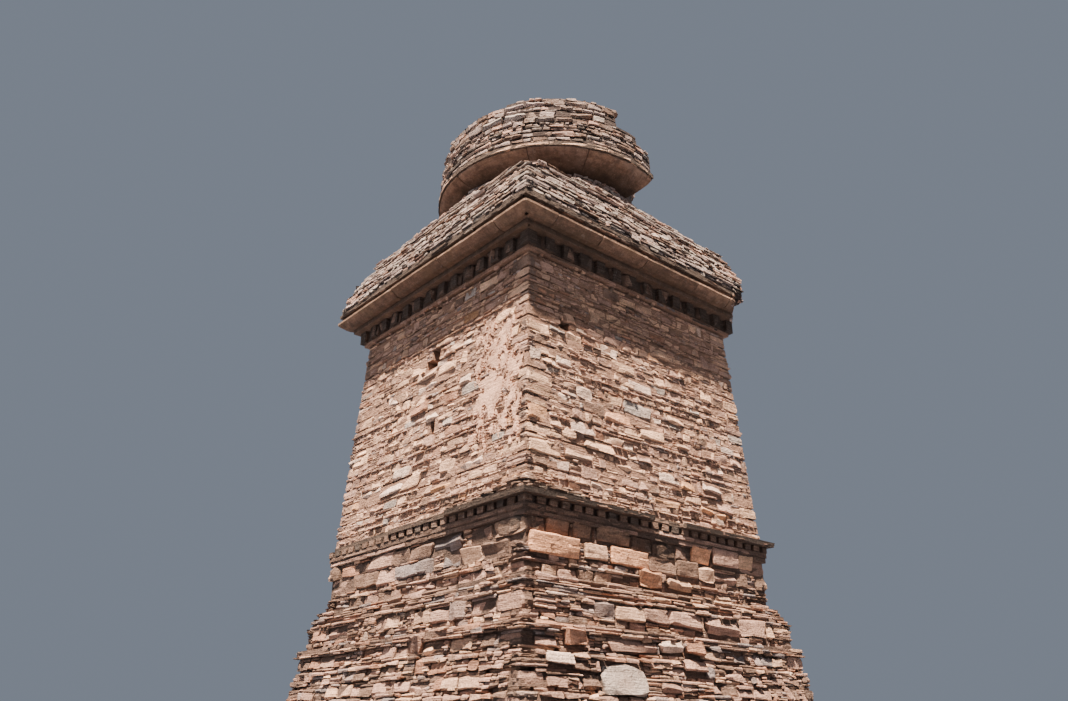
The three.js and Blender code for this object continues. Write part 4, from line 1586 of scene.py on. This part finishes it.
UPPER_STEPS = 8
LOWER_PART = 0.45  # of a step's height, and the rest of it
UPPER_PART = 0.55
TREAD_HABIT = ROOF_HABIT | {"ragged": 0.1, "depth": 0.34}
upper = Pile("upper_roof_stones")
upper_surface = surface_of("upper_roof")
step_rise = (UPPER_TOP - UPPER_FOOT) / UPPER_STEPS
for i in range(UPPER_STEPS):
    foot = UPPER_FOOT + i * step_rise
    lay_ring(upper, upper_surface, foot, step_rise * LOWER_PART, ROOF_HABIT, roof_rng, (0, 0))
    # The upper stones of a step lie on top of it as its tread
    lay_ring(upper, upper_surface, foot + step_rise * LOWER_PART + 0.016, step_rise * UPPER_PART,
             TREAD_HABIT, roof_rng, (0, 0))
upper.finish(roof_stone, "roof_stone")

# Dome: smooth cove, ledge slabs and the drum's courses
dome_rng = np.random.default_rng(91)
WHOLE_TURN = math.radians(230)  # where round the drum its courses are felt, clear of losses
NECK_LIP_RADIUS = 2.175
# The cove's underside from the neck out to its lip: how far out and how high up
NECK_BENDS = ((-0.575, 0.0), (-0.575, 0.07), (-0.335, 0.11), (-0.2, 0.155), (-0.08, 0.2), (0.0, 0.256))
neck_section = [(-0.95, 0.0)]
for out, up in NECK_BENDS:
    neck_section.append((out + CLEAR, max(up - CLEAR, 0.0)))
neck_section += [(CLEAR, 0.266), (-0.95, 0.266)]
neck = Pile("dome_cove_slabs")
lay_slabs(neck, surface_of("dome_foot_cove"), RoundPath(DOME_CENTRE, NECK_LIP_RADIUS), NECK_FOOT + 0.002,
          neck_section, NECK_LIP_RADIUS, (0.9, 1.6), DOME_COVE_STONES, dome_rng, chip=0.010, joint=0.012,
          loss=0.12, feel=0.262)
neck.finish(dome_cove_stone, "eaves_stone")
ring = Pile("dome_ledge_slabs")
ledge_surface = surface_of("dome_ledge_ring")
RING_TOP = 0.066  # the upper layer of ledge slabs stands against the drum's foot
drum_surface = surface_of("dome_masonry")
for surface, level, thick, nose in (
    (ledge_surface, LEDGE_FOOT + 0.002, 0.068, 2.28),
    (drum_surface, DRUM_FOOT + 0.004, RING_TOP - 0.01, 2.245),
):
    lay_slabs(ring, surface, RoundPath(DOME_CENTRE, LEDGE_RADIUS), level, thin_section(thick, 0.3), nose,
              (0.5, 1.1), LEDGE_RING_STONES, dome_rng, chip=0.025, loss=0.2, feel=0.03, joint=0.015)
ring.finish(ledge_stone, "slab_stone")

DRUM_HABIT = ROOF_HABIT | {
    "course": (0.11, 0.2),
    "thin": (0.025, 0.045),
    "levelling": 0.3,
    "block": (1.6, 3.6),
    "proud": (0.005, 0.055),
    "tilt": 0.08,
    "missing": 0.08,
    "ragged": 0.18,
    "stones": DRUM_STONES,
}
DRUM_FOOT_HABIT = DRUM_HABIT | {
    "course": (0.045, 0.08),
    "block": (2.0, 5.0),
    "proud": (0.0, 0.035),
    "tilt": 0.04,
    "missing": 0.0,
}
drum = Pile("drum_stones")
drum_path = RoundPath(DOME_CENTRE, 1.0)


def drum_out(z):
    return path_out(drum_surface, drum_path, WHOLE_TURN, z)


DRUM_LEAST = 1.9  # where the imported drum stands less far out, its facing has fallen
THIN_TOP = DRUM_FOOT + 0.4  # the drum's courses are thinner up to here
DRUM_ZONES = (
    (DRUM_FOOT + RING_TOP, THIN_TOP, DRUM_FOOT_HABIT),
    (THIN_TOP, DRUM_TOP - 0.002, DRUM_HABIT),
)
for low, high, zone_habit in DRUM_ZONES:
    for z, tall, thin in felt_courses(low, high, drum_out, zone_habit, dome_rng):
        habit = zone_habit | ({"block": (3.0, 8.0)} if thin else {})
        lay_ring(drum, drum_surface, z, tall, habit, dome_rng, least=DRUM_LEAST)
drum.finish(roof_stone, "dome_stone")

# Loose fill where the drum, the eaves and the roof's corners have broken away
fill = Pile("broken_fill_stones")
fill_rng = np.random.default_rng(101)
RIM = 0.12  # how far in from the drum's face its fill stones start
FALLEN_TURN = math.radians(60)  # the drum has fallen to both sides of its +X side


def from_dome(place):
    return Vector((place.x - DOME_CENTRE[0], place.y - DOME_CENTRE[1], 0))


def drum_tops(normal, place):
    return normal.z > 0.5 and from_dome(place).length < drum_out(place.z - 0.04) - RIM


def drum_steps(normal, place):
    """Upright faces behind the drum's own face, where its top is stepped."""
    away = from_dome(place)
    facing = abs(normal.z) < 0.5 and normal.dot(away.normalized()) >= 0.8
    return facing and away.length < drum_out(place.z) - RIM / 2


def drum_sides(normal, place):
    """Upright faces that don't look away from the dome's centre."""
    away = from_dome(place)
    sideways = abs(normal.z) < 0.5 and normal.dot(away.normalized()) < 0.8
    fallen = abs(math.atan2(away.y, away.x)) < FALLEN_TURN
    limit = LEDGE_RADIUS - RIM / 3 if fallen else drum_out(place.z) - 2.5 * RIM
    return sideways and away.length < limit


def corner_break(normal, place):
    """Upright faces that cut across a corner."""
    return abs(normal.z) < 0.5 and min(abs(normal.x), abs(normal.y)) > 0.4


drum_names = ["dome_masonry", "dome_rubble_core"]
foot_names = ["dome_ledge_ring", "dome_foot_cove"]
corner_names = [f"{stem}_{side}" for stem in ("eaves_cove", "roof_cover_slabs", "roof_slope")
                for side in SIDES]
for names, broken, count, widths, mix in (
    (drum_names, drum_tops, 900, (0.12, 0.3), DRUM_STONES),
    (drum_names, drum_steps, 400, (0.06, 0.12), DRUM_STONES),
    (drum_names, drum_sides, 700, (0.09, 0.24), DRUM_STONES),
    (foot_names, drum_sides, 200, (0.06, 0.16), DRUM_STONES),
    (corner_names, corner_break, 260, (0.05, 0.12), SLAB_STONES),
):
    scatter_fill(fill, names, broken, count, widths, mix, fill_rng, everything)
fill.finish(roof_stone, "rubble")

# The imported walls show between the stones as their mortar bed
BEDS = {
    "podium_wall": base_bed,
    "plinth_wall": base_bed,
    "plinth_dentils": slab_bed,
    "plinth_cornice": slab_bed,
    "body_wall": wall_bed,
    "eaves_brackets": slab_bed,
    "eaves_cove": cove_bed,
    "roof_cover_slabs": slab_bed,
    "roof_slope": roof_bed,
    "upper_roof": roof_bed,
    "dome_foot_cove": cove_bed,
    "dome_ledge_ring": slab_bed,
    "dome_masonry": roof_bed,
    "dome_rubble_core": roof_bed,
    "base_rubble_core": base_bed,
    "body_rubble_core": wall_bed,
}
for name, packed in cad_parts.items():
    bed = next(BEDS[stem] for stem in BEDS if name.startswith(stem))
    packed.data.materials.clear()
    packed.data.materials.append(bed)
